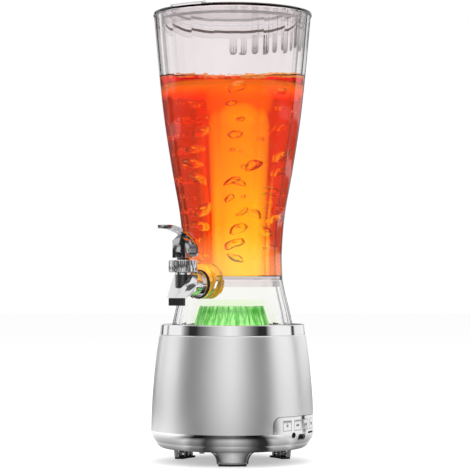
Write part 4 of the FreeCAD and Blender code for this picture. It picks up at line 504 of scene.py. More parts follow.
INSIDE = [
    (cover_plastic, "bottom_cover battery_tray"),
    (plain_steel, "cover_screws board_screws usb_port speaker_yoke"),
    (frame_paint, "speaker_basket"),
    (cone_paper, "speaker_cone speaker_surround speaker_dust_cap"),
    (coil_wire, "voice_coil"),
    (ferrite, "speaker_magnet"),
    (board_mask, "main_board button_board socket_board"),
    (chip_black, "board_parts tact_switches aux_jack card_reader"),
    (cell_sleeve, "battery_cells"),
    (lead_sheath, "led_lead speaker_lead battery_lead"),
]
for material, names in INSIDE:
    for name in names.split():
        dress(name, material)

# ---- Shell ----
# A drawn steel barrel, bead blasted and lacquered satin silver.  It stands on the plinth and is
# cut away round the control panel.

satin_silver = finish("satin_silver", (0.94, 0.94, 0.945), 0.295, 0.33, metallic=0.80, drift=0.03, grain=0.02,
                      grain_scale=420)
dress("base_shell", satin_silver)

# ---- Control panel ----
# Four moulded and chromed buttons stand flush in the tongue, each over its switch.  Their signs for
# light, back, play or pause and forward are printed in dark grey, a tenth of a millimetre thick.

PANEL_RADIUS = 81.22
BUTTON_HEIGHT = 39.3
MARK_RAISE = 0.10
DISC = [(0.95 * math.cos(math.pi * i / 9), 0.95 * math.sin(math.pi * i / 9)) for i in range(18)]
RAY_CORNERS = [(1.5, 0.16), (1.5, -0.16), (2.3, -0.16), (2.3, 0.16)]
RAYS = [[(out * math.cos(a) - side * math.sin(a), out * math.sin(a) + side * math.cos(a))
         for out, side in RAY_CORNERS] for a in (math.pi * i / 4 for i in range(8))]


def softened(node, material, width, segments=2):
    """A copy of a CAD node with its sharp edges eased, which stands for the node."""
    mesh = cad[node].data.copy()
    piece = put(node + "_eased", mesh)
    shape = bmesh.new()
    shape.from_mesh(mesh)
    bmesh.ops.remove_doubles(shape, verts=shape.verts, dist=0.00001)
    bmesh.ops.dissolve_limit(shape, angle_limit=math.radians(1.0), verts=shape.verts, edges=shape.edges)
    shape.to_mesh(mesh)
    shape.free()
    dress(piece, material)
    ease = piece.modifiers.new("ease", "BEVEL")
    ease.width = width * MM
    ease.segments = segments
    ease.limit_method = "ANGLE"
    ease.angle_limit = math.radians(SHARP)
    ease.use_clamp_overlap = True
    ease.harden_normals = True
    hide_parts(node)
    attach(piece, cad[node]["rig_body"])


def bar(x, width, half):
    """An upright bar of a sign."""
    return [(x, -half), (x + width, -half), (x + width, half), (x, half)]


MARKS = {
    "button_light": (-49.25, [DISC] + RAYS),
    "button_prev": (-38.75, [bar(-2.3, 0.45, 1.5), [(-1.7, 0), (0.2, 1.5), (0.2, -1.5)],
                             [(0.2, 0), (2.1, 1.5), (2.1, -1.5)]]),
    "button_play": (-28.25, [[(-2.2, -1.5), (0.3, 0), (-2.2, 1.5)], bar(0.8, 0.5, 1.4), bar(1.8, 0.5, 1.4)]),
    "button_next": (-17.75, [bar(1.85, 0.45, 1.5), [(-0.2, -1.5), (1.7, 0), (-0.2, 1.5)],
                             [(-2.1, -1.5), (-0.2, 0), (-2.1, 1.5)]]),
}
mark_grey = finish("mark_grey", (0.10, 0.10, 0.105), 0.40, 0.55, drift=0.15, grain=0.1)
for button, (azimuth, shapes) in MARKS.items():
    softened(button, chrome, 0.18)
    points, faces = [], []
    for shape in shapes:
        start = len(points)
        for lift in (0.0, MARK_RAISE):
            for across, up in shape:
                angle = math.radians(azimuth) + across / PANEL_RADIUS
                reach = PANEL_RADIUS - 0.03 + lift
                points.append((reach * math.cos(angle), reach * math.sin(angle), BUTTON_HEIGHT + up))
        count = len(shape)
        faces.append(tuple(start + i for i in range(count)))
        faces.append(tuple(start + count + i for i in range(count)))
        for i in range(count):
            j = (i + 1) % count
            faces.append((start + i, start + j, start + count + j, start + count + i))
    mark = new_piece(button + "_mark", points, faces)
    dress(mark, mark_grey)
    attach(mark, button)

# ---- Collar ring ----
# A turned and chromed ring that sits on the shell and takes the foot of the column, which stands in
# it under its own weight.

dress("collar_ring", chrome)

# ---- Light under the column ----
# Twelve lamps on a round board shine through a fluted bell of clear plastic, which they fill with
# green light.  The board lies on a white moulded deck that closes the shell.

deck_white = finish("deck_white", (0.80, 0.80, 0.79), 0.35, 0.48, drift=0.05, grain=0.1)
dress("light_deck", deck_white)
dress("led_board", board_mask)
lamp_glow = finish("lamp_glow", (0.75, 0.95, 0.70), 0.2, 0.3, Emission_Color=(0.25, 1.0, 0.12, 1),
                   Emission_Strength=6.0)
dress("leds", lamp_glow)
# The lens is painted with the lamps' light: its green colour and its emission glow are painted light on clear
# plastic.
LENS_FOOT, LENS_RISE, PETALS = 134.0, 20.0, 18
PETAL_PAINTED_SHADE = (0.01, 0.22, 0.004)
LENS_PAINTED_SHADE, LENS_PAINTED_HIGHLIGHT = (0.0, 0.10, 0.0), (0.72, 1.0, 0.60)
lens_clear_painted_glow = finish("lens_clear_painted_glow", (0.07, 0.42, 0.035), 0.03, 0.08, drift=0.1, grain=0.0,
                    Transmission_Weight=0.40, IOR=1.49, Emission_Strength=0.66)

# painted light of the lens: bright ribs between dark ones that waver a little, with dark tips that fade
# upwards; the dark ribs and tips are painted shade
petals, spot, given, made = new_group(
    "painted_petal_light",
    [("Foot", "Float", LENS_FOOT * MM), ("Rise", "Float", LENS_RISE * MM), ("Petals", "Float", PETALS * 2.0)],
    [("Colour", "Color")])
place, up = round_place(petals, spot)
level = sum_node(petals, "DIVIDE", sum_node(petals, "SUBTRACT", up, given["Foot"]), given["Rise"])
waver = sum_node(petals, "MULTIPLY", noise_node(petals, spot, 95.0, 2.0), 1.3)
turns = sum_node(petals, "ADD", sum_node(petals, "MULTIPLY", place, given["Petals"]), waver)
sawtooth = sum_node(petals, "MULTIPLY", sum_node(petals, "FRACT", turns), 2.0)
ridge = sum_node(petals, "ABSOLUTE", sum_node(petals, "SUBTRACT", sawtooth, 1.0))
sunk = sum_node(petals, "POWER", level, 1.6)
dome = sum_node(petals, "SUBTRACT", sum_node(petals, "ADD", ridge, 0.30), sunk)
mottle = sum_node(petals, "MULTIPLY", noise_node(petals, spot, 260.0, 2.0), 0.35)
ribs = ramp_node(petals, sum_node(petals, "ADD", dome, mottle), [
    (0.0, (0.75, 1.0, 0.62)), (0.25, (0.33, 0.86, 0.16)), (0.48, (0.015, 0.20, 0.005)),
    (0.70, (0.07, 0.50, 0.02)), (1.0, (0.66, 1.0, 0.48))])
ragged = sum_node(petals, "MULTIPLY", noise_node(petals, spot, 140.0, 1.0), 0.35)
height = sum_node(petals, "SUBTRACT", sum_node(petals, "ADD", level, ragged), 0.15)
tips = ramp_node(petals, height, [(0.0, 0.0), (0.55, 0.0), (0.74, 0.85), (0.86, 0.7), (0.97, 0.0)])
wire(petals, mix_node(petals, tips, ribs, PETAL_PAINTED_SHADE), made["Colour"])

tree = lens_clear_painted_glow.node_tree
# Layer Weight paints a highlight where the lens faces the eye and shade towards its turned-away edges.
turned_away = tree.nodes.new("ShaderNodeLayerWeight")
turned_away.inputs["Blend"].default_value = 0.68
deeper = mix_node(tree, turned_away.outputs["Facing"], use_group(tree, petals), LENS_PAINTED_SHADE)
paler = ramp_node(tree, turned_away.outputs["Facing"], [(0.0, 0.34), (0.22, 0.24), (0.42, 0.0)])
wire(tree, mix_node(tree, paler, deeper, LENS_PAINTED_HIGHLIGHT), tree.nodes["Principled BSDF"].inputs["Emission Color"])
dress("led_lens", lens_clear_painted_glow)

# ---- Column ----
# Clear vessel and flared skirt, moulded with twenty flat sides round a round bore and welded at
# the seam.  The well for the tap is part of the vessel.

SIDES = 20
TAP_AZIMUTH = 230.0
VESSEL_SIDE = [(180, 50.2), (205, 49.5), (244, 52.5), (290, 60.6), (340, 68.4), (388, 73.8), (444, 79.0)]
SKIRT_SIDE = [(136, 60.2), (150, 57.2), (166, 53.1), (180, 50.2)]
VESSEL_WALL, SKIRT_WALL = 2.6, 3.0
VESSEL_UNDER, VESSEL_INSIDE, RIM = 180.0, 183.5, 444.0
FLAT_STEPS = (-9.0, -8.3, -4.2, 0.0, 4.2, 8.3)
FACETED_STEPS, SWEEP = SIDES * len(FLAT_STEPS), 72
CORNER_EASE = 0.35
WELL_HEIGHT, WELL_RADIUS, WELL_WALL = 179.0, 17.8, 3.4
WELL_BACK, WELL_BACK_WALL = 33.7, 2.6
WELL_FACE, WELL_FACE_WALL = 50.7, 4.0
SHANK_HOLE, SHANK_LOWER = 8.3, 3.0
PLUG_INNER, PLUG_OUTER, PLUG_FOOT = 43.9, 46.4, 173.0
LIP_RADIUS, LIP_FOOT = 59.16, 132.0
SKIRT_SEAT, SKIRT_TOP = 136.0, 179.7


def heights(low, high, steps):
    """Even steps from low to high, both included."""
    return [low + (high - low) * i / steps for i in range(steps + 1)]


def corner_radius(side, height):
    """Radius of the corners at a height, on a smooth curve through the side's points."""
    points = [side[0]] + list(side) + [side[-1]]
    for i in range(1, len(points) - 2):
        (z0, r0), (z1, r1), (z2, r2), (z3, r3) = points[i - 1:i + 3]
        if height <= z2 or i == len(points) - 3:
            t = (height - z1) / (z2 - z1)
            rise1 = (r2 - r0) / (z2 - z0) * (z2 - z1)
            rise2 = (r3 - r1) / (z3 - z1) * (z2 - z1)
            return (r1 * (2 * t ** 3 - 3 * t ** 2 + 1) + rise1 * (t ** 3 - 2 * t ** 2 + t)
                    + r2 * (3 * t ** 2 - 2 * t ** 3) + rise2 * (t ** 3 - t ** 2))


def flat_radius(side, height):
    """Radius at the middle of a flat side."""
    return corner_radius(side, height) * math.cos(math.pi / SIDES)


def turned(name, outline, steps=FACETED_STEPS):
    """Turn a closed outline about the axis.  A point is (radius, height), or (radius, height, True)
    where the section has flat sides and the radius is that of a flat."""
    points, faces, count = [], [], len(outline)
    faceted = steps == FACETED_STEPS
    for step in range(steps):
        side, part = divmod(step, len(FLAT_STEPS))
        off = FLAT_STEPS[part] if faceted else 0.0
        azimuth = math.radians(TAP_AZIMUTH + side * 360 / SIDES + off if faceted else step * 360 / steps)
        ease = CORNER_EASE if part == 0 else 0.0
        lean = math.cos(math.radians(max(abs(off) - ease, 0.0)))
        for spot in outline:
            radius = spot[0] / lean if len(spot) == 3 else spot[0]
            points.append((radius * math.cos(azimuth), radius * math.sin(azimuth), spot[1]))
        after = (step + 1) % steps
        for i in range(count):
            j = (i + 1) % count
            faces.append((step * count + i, after * count + i, after * count + j, step * count + j))
    return new_piece(name, points, faces)


def rod(name, radius, start, end, height, low=None):
    """A round rod along the tap's direction, from start to end off the axis.  It reaches no lower
    than low, where that is given."""
    points, faces = [], []
    across = Matrix.Rotation(math.radians(TAP_AZIMUTH), 3, "Z")
    for reach in (start, end):
        for step in range(SWEEP):
            angle = 2 * math.pi * step / SWEEP
            lift = height + radius * math.sin(angle)
            if low is not None:
                lift = max(lift, low)
            points.append(across @ Vector((reach, radius * math.cos(angle), lift)))
    for step in range(SWEEP):
        after = (step + 1) % SWEEP
        faces.append((step, after, SWEEP + after, SWEEP + step))
    faces.append(tuple(reversed(range(SWEEP))))
    faces.append(tuple(range(SWEEP, 2 * SWEEP)))
    return new_piece(name, points, faces)


def carve(piece, tool, operation="DIFFERENCE"):
    """Cut a tool out of a piece, or join it on, and drop the tool."""
    change = piece.modifiers.new("carve", "BOOLEAN")
    change.operation, change.solver, change.object = operation, "EXACT", tool
    bpy.context.view_layer.update()
    seen = piece.evaluated_get(bpy.context.evaluated_depsgraph_get())
    shape = bpy.data.meshes.new_from_object(seen)
    piece.modifiers.clear()
    piece.data = shape
    bpy.data.objects.remove(tool)


rise = heights(VESSEL_UNDER, RIM - 0.5, 44)
outside = [(flat_radius(VESSEL_SIDE, z), z, True) for z in rise]
outside.append((flat_radius(VESSEL_SIDE, RIM) - 0.5, RIM, True))
inside = [(flat_radius(VESSEL_SIDE, RIM) - VESSEL_WALL + 0.4, RIM)]
inside += [(flat_radius(VESSEL_SIDE, z) - VESSEL_WALL, z) for z in reversed(rise) if z > VESSEL_INSIDE + 2]
plug = [(0, VESSEL_UNDER), (PLUG_INNER, VESSEL_UNDER), (PLUG_INNER, PLUG_FOOT), (PLUG_OUTER, PLUG_FOOT),
        (PLUG_OUTER, VESSEL_UNDER)]
floor_reach = flat_radius(VESSEL_SIDE, VESSEL_INSIDE) - VESSEL_WALL
floor = [(floor_reach, VESSEL_INSIDE + 1.0), (floor_reach - 1.0, VESSEL_INSIDE), (0, VESSEL_INSIDE)]
vessel = turned("vessel", plug + outside + inside + floor)
carve(vessel, rod("well_tube", WELL_RADIUS, WELL_BACK, WELL_FACE, WELL_HEIGHT), "UNION")
carve(vessel, rod("well_space", WELL_RADIUS - WELL_WALL, WELL_BACK + WELL_BACK_WALL,
                  WELL_FACE - WELL_FACE_WALL, WELL_HEIGHT))
carve(vessel, rod("well_mouth", WELL_RADIUS - WELL_WALL, WELL_BACK - 1, WELL_BACK + WELL_BACK_WALL + 1,
                  WELL_HEIGHT, low=VESSEL_INSIDE))
carve(vessel, rod("shank_hole", SHANK_HOLE, WELL_FACE - WELL_FACE_WALL * 2, WELL_FACE + 2,
                  WELL_HEIGHT - SHANK_LOWER))

skirt_rise = heights(SKIRT_SEAT, SKIRT_TOP, 12)
skirt_side = [(LIP_RADIUS, LIP_FOOT), (LIP_RADIUS, SKIRT_SEAT)]
skirt_side += [(flat_radius(SKIRT_SIDE, z), z, True) for z in skirt_rise]
skirt_side += [(flat_radius(SKIRT_SIDE, z) - SKIRT_WALL, z) for z in reversed(skirt_rise)]
skirt = turned("skirt", skirt_side + [(LIP_RADIUS - SKIRT_WALL, LIP_FOOT)])
carve(skirt, rod("well_room", WELL_RADIUS + 0.3, WELL_BACK - 8, WELL_FACE + 15, WELL_HEIGHT))


def clear_finish(name, tint, density, index=1.47, skin=(1.0, 1.0, 1.0), drift=0.015):
    """Polished clear plastic or liquid: a glass surface over a tint that deepens with the way through."""
    material = finish(name, skin, 0.0, 0.0, drift=drift, grain=0.0, Transmission_Weight=1.0, IOR=index,
                      Specular_Tint=(0.30, 0.28, 0.28, 1))
    tree = material.node_tree
    soak = tree.nodes.new("ShaderNodeVolumeAbsorption")
    soak.inputs["Color"].default_value = (*tint, 1)
    soak.inputs["Density"].default_value = density
    wire(tree, soak.outputs[0], tree.nodes["Material Output"].inputs["Volume"])
    return material


clear_plastic = clear_finish("clear_plastic", (0.50, 0.42, 0.44), 9.0, skin=(0.965, 0.932, 0.938), drift=0.06)
skirt_plastic = clear_finish("skirt_plastic", (0.50, 0.48, 0.48), 5.0, index=1.28, skin=(0.995, 0.99, 0.99))
for piece, material, node in ((vessel, clear_plastic, "tower_vessel"), (skirt, skirt_plastic, "tower_skirt")):
    dress(piece, material, sharp=8)
    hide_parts(node)
    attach(piece, "tower")

# ---- Drink ----
# An orange-red drink fills the vessel and the tap's well.  The light from below stands in its middle
# as a paler column with a few brighter streaks, and bubbles rise through it to a little froth.

FILL = 379.5
SWELL = 3.5
DRINK_SINK = 1.8
CORE_FOOT, CORE_RADIUS, CORE_SPREAD = 187.0, 21.5, 2.5 / 180
CORE_SHOULDER, CORE_DOME, CORE_DEEP, CORE_ASIDE = 333.0, 23.7, 21.0, 5.5
CROWN_SIDE = [(0, 334), (12, 337), (20, 343), (25, 351), (27, 359), (26, 366), (21, 371), (12, 374), (0, 375)]
FOOT_SIDE = [(0, 184.2), (44.5, 184.2), (45.5, 186), (45.2, 190), (43.6, 196), (40.5, 203), (35.5, 211),
             (28, 220), (17, 230), (0, 240)]
STREAKS = [(232, 17, 2.4), (321, 22, 1.5), (34, 21, 2.2), (105, 22, 1.6), (178, 21, 2.0)]
STREAK_FOOT, STREAK_RISE = 200.0, 150.0
random.seed(7)


def bore_radius(height):
    """Radius of the vessel's round inside."""
    return flat_radius(VESSEL_SIDE, height) - VESSEL_WALL


def surface_height(x, y):
    """The drink's surface, still moving from the pouring."""
    wide = bore_radius(FILL)
    swell = SWELL * (x * x - y * y) / wide ** 2
    ripple = 0.45 * math.sin(x / 6 + 1.2) * math.cos(y / 8) + 0.3 * math.sin((x + 2 * y) / 4.5)
    return FILL + swell + ripple


drink_rise = heights(VESSEL_INSIDE + 2, FILL - 5, 40)
bore = [(bore_radius(z) + DRINK_SINK, z) for z in drink_rise]
brim = bore_radius(FILL) + DRINK_SINK
surface = [(brim, FILL), (brim - 1.0, FILL - 0.8), (brim * 0.96, FILL - 1.0), (brim * 0.9, FILL - 1.0)]
surface += [(brim * share, FILL - 1.0) for share in (0.82, 0.73, 0.64, 0.55, 0.46, 0.37, 0.28, 0.19, 0.1, 0)]
drink_floor = [(0, VESSEL_INSIDE - 0.1), (bore[0][0] - 1.0, VESSEL_INSIDE - 0.1)]
drink = turned("drink", drink_floor + bore + surface)
for point in drink.data.vertices:
    x, y, z = (value / MM for value in point.co)
    if z > FILL - 2:
        climb = 1.0 if math.hypot(x, y) > brim - 0.5 else 0.0
        point.co.z = (surface_height(x, y) + climb) * MM
        if climb:
            widen = (bore_radius(point.co.z / MM) + DRINK_SINK) / brim
            point.co.x *= widen
            point.co.y *= widen
carve(drink, rod("well_drink", WELL_RADIUS - 0.7, WELL_BACK + 0.6, WELL_FACE - 0.6, WELL_HEIGHT), "UNION")
drink_red = clear_finish("drink_red", (0.945, 0.40, 0.0), 80.0, index=1.33)
dress(drink, drink_red, sharp=40)
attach(drink, "tower")


def glow_finish(name, colour, strength):
    """Light that hangs in the drink: no surface of its own, only a glow all through it."""
    material = clear_finish(name, (1.0, 1.0, 1.0), 0.0, index=1.0)
    tree = material.node_tree
    glow = tree.nodes.new("ShaderNodeEmission")
    glow.inputs["Color"].default_value = (*colour, 1)
    glow.inputs["Strength"].default_value = strength
    wire(tree, glow.outputs[0], tree.nodes["Material Output"].inputs["Volume"])
    return material


def hang_glow(name, outline, colour, strength, aside=0.0):
    """A turned body of light in the drink, with its axis a little aside of the column's."""
    light = turned(name, outline, SWEEP)
    light.data.transform(Matrix.Translation((aside * MM, 0, 0)))
    dress(light, glow_finish(name + "_glow", colour, strength), sharp=40)
    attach(light, "tower")


dome_rise = FILL - CORE_DEEP - CORE_SHOULDER
core_side = [(CORE_RADIUS + CORE_SPREAD * (z - CORE_FOOT), z) for z in heights(CORE_FOOT, CORE_SHOULDER, 20)]
core_side += [(CORE_DOME * math.cos(turn), CORE_SHOULDER + dome_rise * math.sin(turn))
              for turn in heights(0.1, 1.5, 10)]
core_side = [(0, CORE_FOOT)] + core_side + [(0, CORE_SHOULDER + dome_rise)]
hang_glow("drink_core", core_side, (0.17, 1.0, 0.01), 92.0, aside=CORE_ASIDE)
hang_glow("drink_crown", CROWN_SIDE, (0.28, 1.0, 0.01), 34.0, aside=CORE_ASIDE)
top_reach = bore_radius(FILL) - 1.5
top_side = [(0, FILL - 16), (40, FILL - 15), (58, FILL - 12), (top_reach, FILL - 6), (top_reach, FILL - 4.4),
            (0, FILL - 4)]
hang_glow("drink_top", top_side, (0.80, 0.52, 0.01), 20.0)
body_side = [(bore_radius(z) - 2, z) for z in heights(188, FILL - 8, 20)]
hang_glow("drink_body", [(0, 186.0)] + body_side + [(0, FILL - 7)], (1.0, 0.31, 0.0), 4.5)
hang_glow("drink_foot", FOOT_SIDE, (0.55, 1.0, 0.62), 15.0)
well_light = rod("well_light", WELL_RADIUS - 1.2, WELL_BACK + 0.9, WELL_FACE - 0.9, WELL_HEIGHT)
dress(well_light, glow_finish("well_glow", (1.0, 0.72, 0.04), 44.0), sharp=40)
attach(well_light, "tower")

# streaks: thin wavy threads of light; each has an azimuth, a distance from the axis and a half width
streak_glow = glow_finish("drink_streak_glow", (0.7, 1.0, 0.02), 90.0)
for number, (azimuth, reach, half) in enumerate(STREAKS):
    streak_side = [(half * math.sin(math.pi * (i + 1) / 14) ** 0.5, STREAK_FOOT + STREAK_RISE * i / 12)
                   for i in range(13)]
    streak_side = [(0, STREAK_FOOT)] + streak_side + [(0, STREAK_FOOT + STREAK_RISE)]
    streak = turned("drink_streak_%d" % number, streak_side, 18)
    for point in streak.data.vertices:
        bend = reach + 2.5 * math.sin(point.co.z / MM / 31 + number)
        point.co.x += bend * MM * math.cos(math.radians(azimuth))
        point.co.y += bend * MM * math.sin(math.radians(azimuth))
    dress(streak, streak_glow, sharp=180)
    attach(streak, "tower")


def bubble_cloud(name, bubbles, detail):
    """Many bubbles in one piece; a bubble is (x, y, z, radius, stretch)."""
    cloud = bmesh.new()
    for x, y, z, radius, stretch in bubbles:
        made = bmesh.ops.create_icosphere(cloud, subdivisions=detail, radius=radius * MM)["verts"]
        swirl = Vector((random.uniform(0, 6), random.uniform(0, 6), random.uniform(0, 6)))
        lean = Matrix.Rotation(random.uniform(-0.7, 0.7), 3, "Y")
        lean = lean @ Matrix.Rotation(random.uniform(-0.5, 0.5), 3, "X")
        rough = 0.75 if radius > 2.6 else 0.6
        for point in made:
            away = point.co.normalized()
            dent = 1 + rough * (0.16 * math.sin(3 * away.x + swirl.x) * math.cos(2.4 * away.y + swirl.y)
                                + 0.10 * math.sin(5 * away.z + swirl.z))
            body = Vector((point.co.x * stretch, point.co.y, point.co.z * 0.78)) * dent
            point.co = lean @ body + Vector((x, y, z)) * MM
    mesh = bpy.data.meshes.new(name)
    cloud.to_mesh(mesh)
    cloud.free()
    return put(name, mesh)


def around_axis(azimuth, reach, height, radius, stretch=1.0):
    """A bubble at a distance and azimuth from the column's axis."""
    return (reach * math.cos(azimuth), reach * math.sin(azimuth), height, radius, stretch)


LARGE_COUNT, SMALL_COUNT, FROTH_COUNT = 95, 300, 520
large, small, froth = [], [], []
for number in range(LARGE_COUNT):
    height = 202 + 168 * ((number * 0.618) % 1.0)
    azimuth = math.radians(72 * (number % 5) - 82) + random.gauss(0, 0.24)
    radius = random.choice((1.4, 1.8, 2.4, 3.0, 3.8, 4.8, 6.0))
    reach = bore_radius(height) * random.uniform(0.58, 0.80)
    stretch = 1.55 if radius > 3.5 else random.uniform(1.0, 1.3)
    large.append(around_axis(azimuth, reach, height, radius, stretch))
for _ in range(SMALL_COUNT):
    height = random.uniform(190, FILL - 6)
    azimuth = random.uniform(0, 2 * math.pi)
    reach = bore_radius(height) * random.uniform(0.3, 0.95)
    small.append(around_axis(azimuth, reach, height, random.uniform(0.3, 0.9)))
for _ in range(FROTH_COUNT):
    azimuth = random.gauss(-0.75, 0.45) if random.random() < 0.4 else random.uniform(0, 2 * math.pi)
    radius = random.uniform(0.6, 2.4)
    reach = min(bore_radius(FILL) * random.uniform(0.88, 1.0), bore_radius(FILL) - radius * 1.15)
    x, y = reach * math.cos(azimuth), reach * math.sin(azimuth)
    froth.append((x, y, surface_height(x, y) + random.uniform(-0.6, 1.6), radius, 1.0))
# glints: small glowing bodies inside the large bubbles, painted highlights
glints = [(x * 0.99, y * 0.99, z + 0.42 * radius, 0.30 * radius, 1.7)
          for x, y, z, radius, _ in large if radius > 1.6]
bubble_air = clear_finish("bubble_air", (1.0, 1.0, 1.0), 0.0, index=0.75)
froth_film_painted_glow = clear_finish("froth_film_painted_glow", (0.98, 0.55, 0.25), 60.0, index=1.33)
# The froth's faint orange emission is painted light that brightens it.
shader = froth_film_painted_glow.node_tree.nodes["Principled BSDF"]
shader.inputs["Emission Color"].default_value = (1.0, 0.42, 0.10, 1)
shader.inputs["Emission Strength"].default_value = 0.09
glint_painted_highlight = finish("glint_painted_highlight", (0.9, 0.6, 0.1), 0.2, 0.3, drift=0.1, grain=0.0,
                    Emission_Color=(1.0, 0.62, 0.04, 1), Emission_Strength=0.9)
for name, spots, detail, material in (("bubbles_large", large, 3, bubble_air),
                                      ("bubble_glints", glints, 2, glint_painted_highlight),
                                      ("bubbles_small", small, 2, bubble_air),
                                      ("froth", froth, 2, froth_film_painted_glow)):
    dress(bubble_cloud(name, spots, detail), material, sharp=180)
    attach(bpy.data.objects[name], "tower")

# ---- Lamp glow in the skirt ----
# The green light of the lamps hangs faintly in the air of the clear skirt, over the lens, and
# stronger close to it.  It is a tint of the air only, in two bodies one in the other.

for name, low, high, wide, narrow, tint, density in (
        ("lamp_haze", 136.5, 178.5, 50.0, 44.5, (0.93, 1.0, 0.76), 2.5),
        ("lamp_haze_low", 136.6, 160.0, 46.0, 34.0, (0.75, 1.0, 0.50), 7.0)):
    haze = turned(name, [(0, low), (wide, low), (narrow, high), (0, high)], SWEEP)
    dress(haze, clear_finish(name, tint, density, index=1.0), sharp=40)
    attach(haze, "tower")

# ---- Tap ----
# Body, lobed cap and lever are cast brass, chromed, and eased at their edges.  The steel valve chamber
# shows its thread under the cap.  The nozzle is drawn black, a painted reflection of the dark its chamfered
# end mirrors, and the washers are black rubber.

VALVE_REACH, STEM_RISE = 74.5, 2.7
CHAMBER_RADIUS, CHAMBER_BORE = 7.35, 5.0
THREAD_FOOT, THREAD_TURNS, THREAD_DEPTH, THREAD_PITCH = 172.0, 8, 0.55, 1.7
CAP_SIDE = [(6.4, 187.4), (13.4, 187.4), (14.0, 188.0), (14.0, 198.5), (13.2, 199.3), (3.4, 199.3),
            (3.4, 196.3), (6.4, 196.3)]
CAP_LOBES, LOBE_DEPTH, LOBED_FROM = 20, 1.5, 12.0
valve_x = VALVE_REACH * math.cos(math.radians(TAP_AZIMUTH)) * MM
valve_y = VALVE_REACH * math.sin(math.radians(TAP_AZIMUTH)) * MM

# cast chrome: wide, shallow waves under the plating
waving, spot, given, made = new_group(
    "cast_waves", [("Scale", "Float", 60.0), ("Depth", "Float", 0.3)], [("Normal", "Vector")])
swell = waving.nodes.new("ShaderNodeBump")
swell.inputs["Distance"].default_value = 0.004
wire(waving, noise_node(waving, spot, given["Scale"], 0.0), swell.inputs["Height"])
wire(waving, given["Depth"], swell.inputs["Strength"])
wire(waving, swell.outputs[0], made["Normal"])
cast_chrome = finish("cast_chrome", (0.80, 0.80, 0.81), 0.04, 0.09, metallic=1.0, drift=0.06, grain=0.0)
# The lever's chrome is a darker copy of the body's chrome: painted shade for the dark that the lever mirrors.
lever_chrome_painted_shade = finish("lever_chrome_painted_shade", (0.50, 0.50, 0.51), 0.05, 0.11, metallic=1.0, drift=0.15, grain=0.0)
for material, scale, depth in ((cast_chrome, 75.0, 0.5), (lever_chrome_painted_shade, 110.0, 0.6)):
    tree = material.node_tree
    waves = use_group(tree, waving, Scale=scale, Depth=depth)
    wire(tree, waves, tree.nodes["Principled BSDF"].inputs["Normal"])
# The thread's steel is a darker copy of the plain steel: painted shade for its place under the cap.
thread_steel_painted_shade = finish("thread_steel_painted_shade", (0.26, 0.26, 0.265), 0.12, 0.22, metallic=1.0, drift=0.2, grain=0.1)

softened("tap_body", cast_chrome, 0.7, segments=3)
softened("tap_lever", lever_chrome_painted_shade, 0.9, segments=3)
thread = [(CHAMBER_BORE, THREAD_FOOT)]
for step in range(THREAD_TURNS):
    foot = THREAD_FOOT + step * THREAD_PITCH
    thread += [(CHAMBER_RADIUS, foot), (CHAMBER_RADIUS + THREAD_DEPTH, foot + 0.35 * THREAD_PITCH),
               (CHAMBER_RADIUS + THREAD_DEPTH, foot + 0.65 * THREAD_PITCH)]
thread_top = THREAD_FOOT + THREAD_TURNS * THREAD_PITCH
thread += [(CHAMBER_RADIUS, thread_top), (CHAMBER_BORE, thread_top)]
chamber_thread = turned("chamber_thread", thread, SWEEP)
cap = turned("cap", CAP_SIDE, 16 * CAP_LOBES)
for point in cap.data.vertices:
    reach = math.hypot(point.co.x, point.co.y)
    if reach > LOBED_FROM * MM:
        wave = math.cos(CAP_LOBES * math.atan2(point.co.y, point.co.x))
        share = 1 - LOBE_DEPTH * MM / reach * (0.5 - 0.5 * max(-1.0, min(1.0, 1.7 * wave)))
        point.co.x *= share
        point.co.y *= share
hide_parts("tap_cap")
for piece, material, slot in ((chamber_thread, thread_steel_painted_shade, "steel"), (cap, cast_chrome, "chrome_plate")):
    piece.data.transform(Matrix.Translation((valve_x, valve_y, 0)))
    dress(piece, material, sharp=40)
    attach(piece, "tower")
for name in ("tap_stem", "tap_lever_pin", "tap_lock_nut"):
    dress(name, plain_steel)

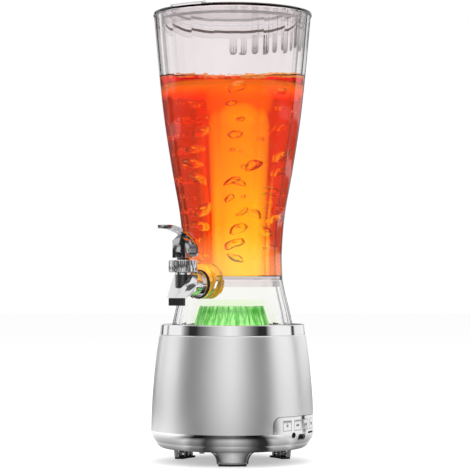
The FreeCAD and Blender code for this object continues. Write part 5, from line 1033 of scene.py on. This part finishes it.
# the coil spring, which shortens towards the cap as the stem's collar lifts against it, made as a copy of the
# CAD node with a mesh of its own
spring = put("valve_spring", cad["tap_spring"].data.copy())
dress(spring, plain_steel)
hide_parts("tap_spring")
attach(spring, "tower")
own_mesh(spring)
for name in ("tap_outer_washer", "tap_inner_washer", "tap_cap_washer"):
    dress(name, pad_rubber)
# The nozzle's black is a painted reflection: the dark that the spout's chamfered end mirrors.
nozzle_painted_dark_reflection = finish("nozzle_painted_dark_reflection", (0.02, 0.02, 0.022), 0.12, 0.22, drift=0.2, grain=0.1, grain_scale=1500)
softened("tap_outlet", nozzle_painted_dark_reflection, 1.6, segments=1)
soft_silicone = finish("soft_silicone", (0.72, 0.72, 0.70), 0.5, 0.6, drift=0.05, grain=0.1)
dress("tap_seat_plug", soft_silicone)

# ---- Lid ----
# The moulded lid is of the same clear plastic as the column; its guide fingers are painted darker towards
# their ends, a painted shade.  It lies in the rim by its weight and a silicone seal.

FINGER_FOOT, FINGER_SHADE = 414.5, 20.0
FINGER_PAINTED_SHADE = (0.16, 0.13, 0.14)
lid_clear_painted_shade = clear_finish("lid_clear_painted_shade", (0.45, 0.40, 0.42), 15.0, skin=(0.95, 0.92, 0.93), drift=0.08)
tree = lid_clear_painted_shade.node_tree
shader = tree.nodes["Principled BSDF"]
split = tree.nodes.new("ShaderNodeSeparateXYZ")
wire(tree, tree.nodes.new("ShaderNodeTexCoord").outputs["Object"], split.inputs[0])
# painted shade on the guide fingers, darker towards their ends
up = sum_node(tree, "DIVIDE", split.outputs["Z"], FINGER_SHADE * MM)
up = sum_node(tree, "SUBTRACT", up, FINGER_FOOT / FINGER_SHADE)
ends = ramp_node(tree, up, [(0.0, 0.75), (0.15, 0.60), (0.5, 0.22), (0.8, 0.10), (0.85, 0.0)])
plain_tone = shader.inputs["Base Color"].links[0].from_socket
wire(tree, mix_node(tree, ends, plain_tone, FINGER_PAINTED_SHADE), shader.inputs["Base Color"])
dress("lid", lid_clear_painted_shade, sharp=20)
dress("lid_seal", soft_silicone)
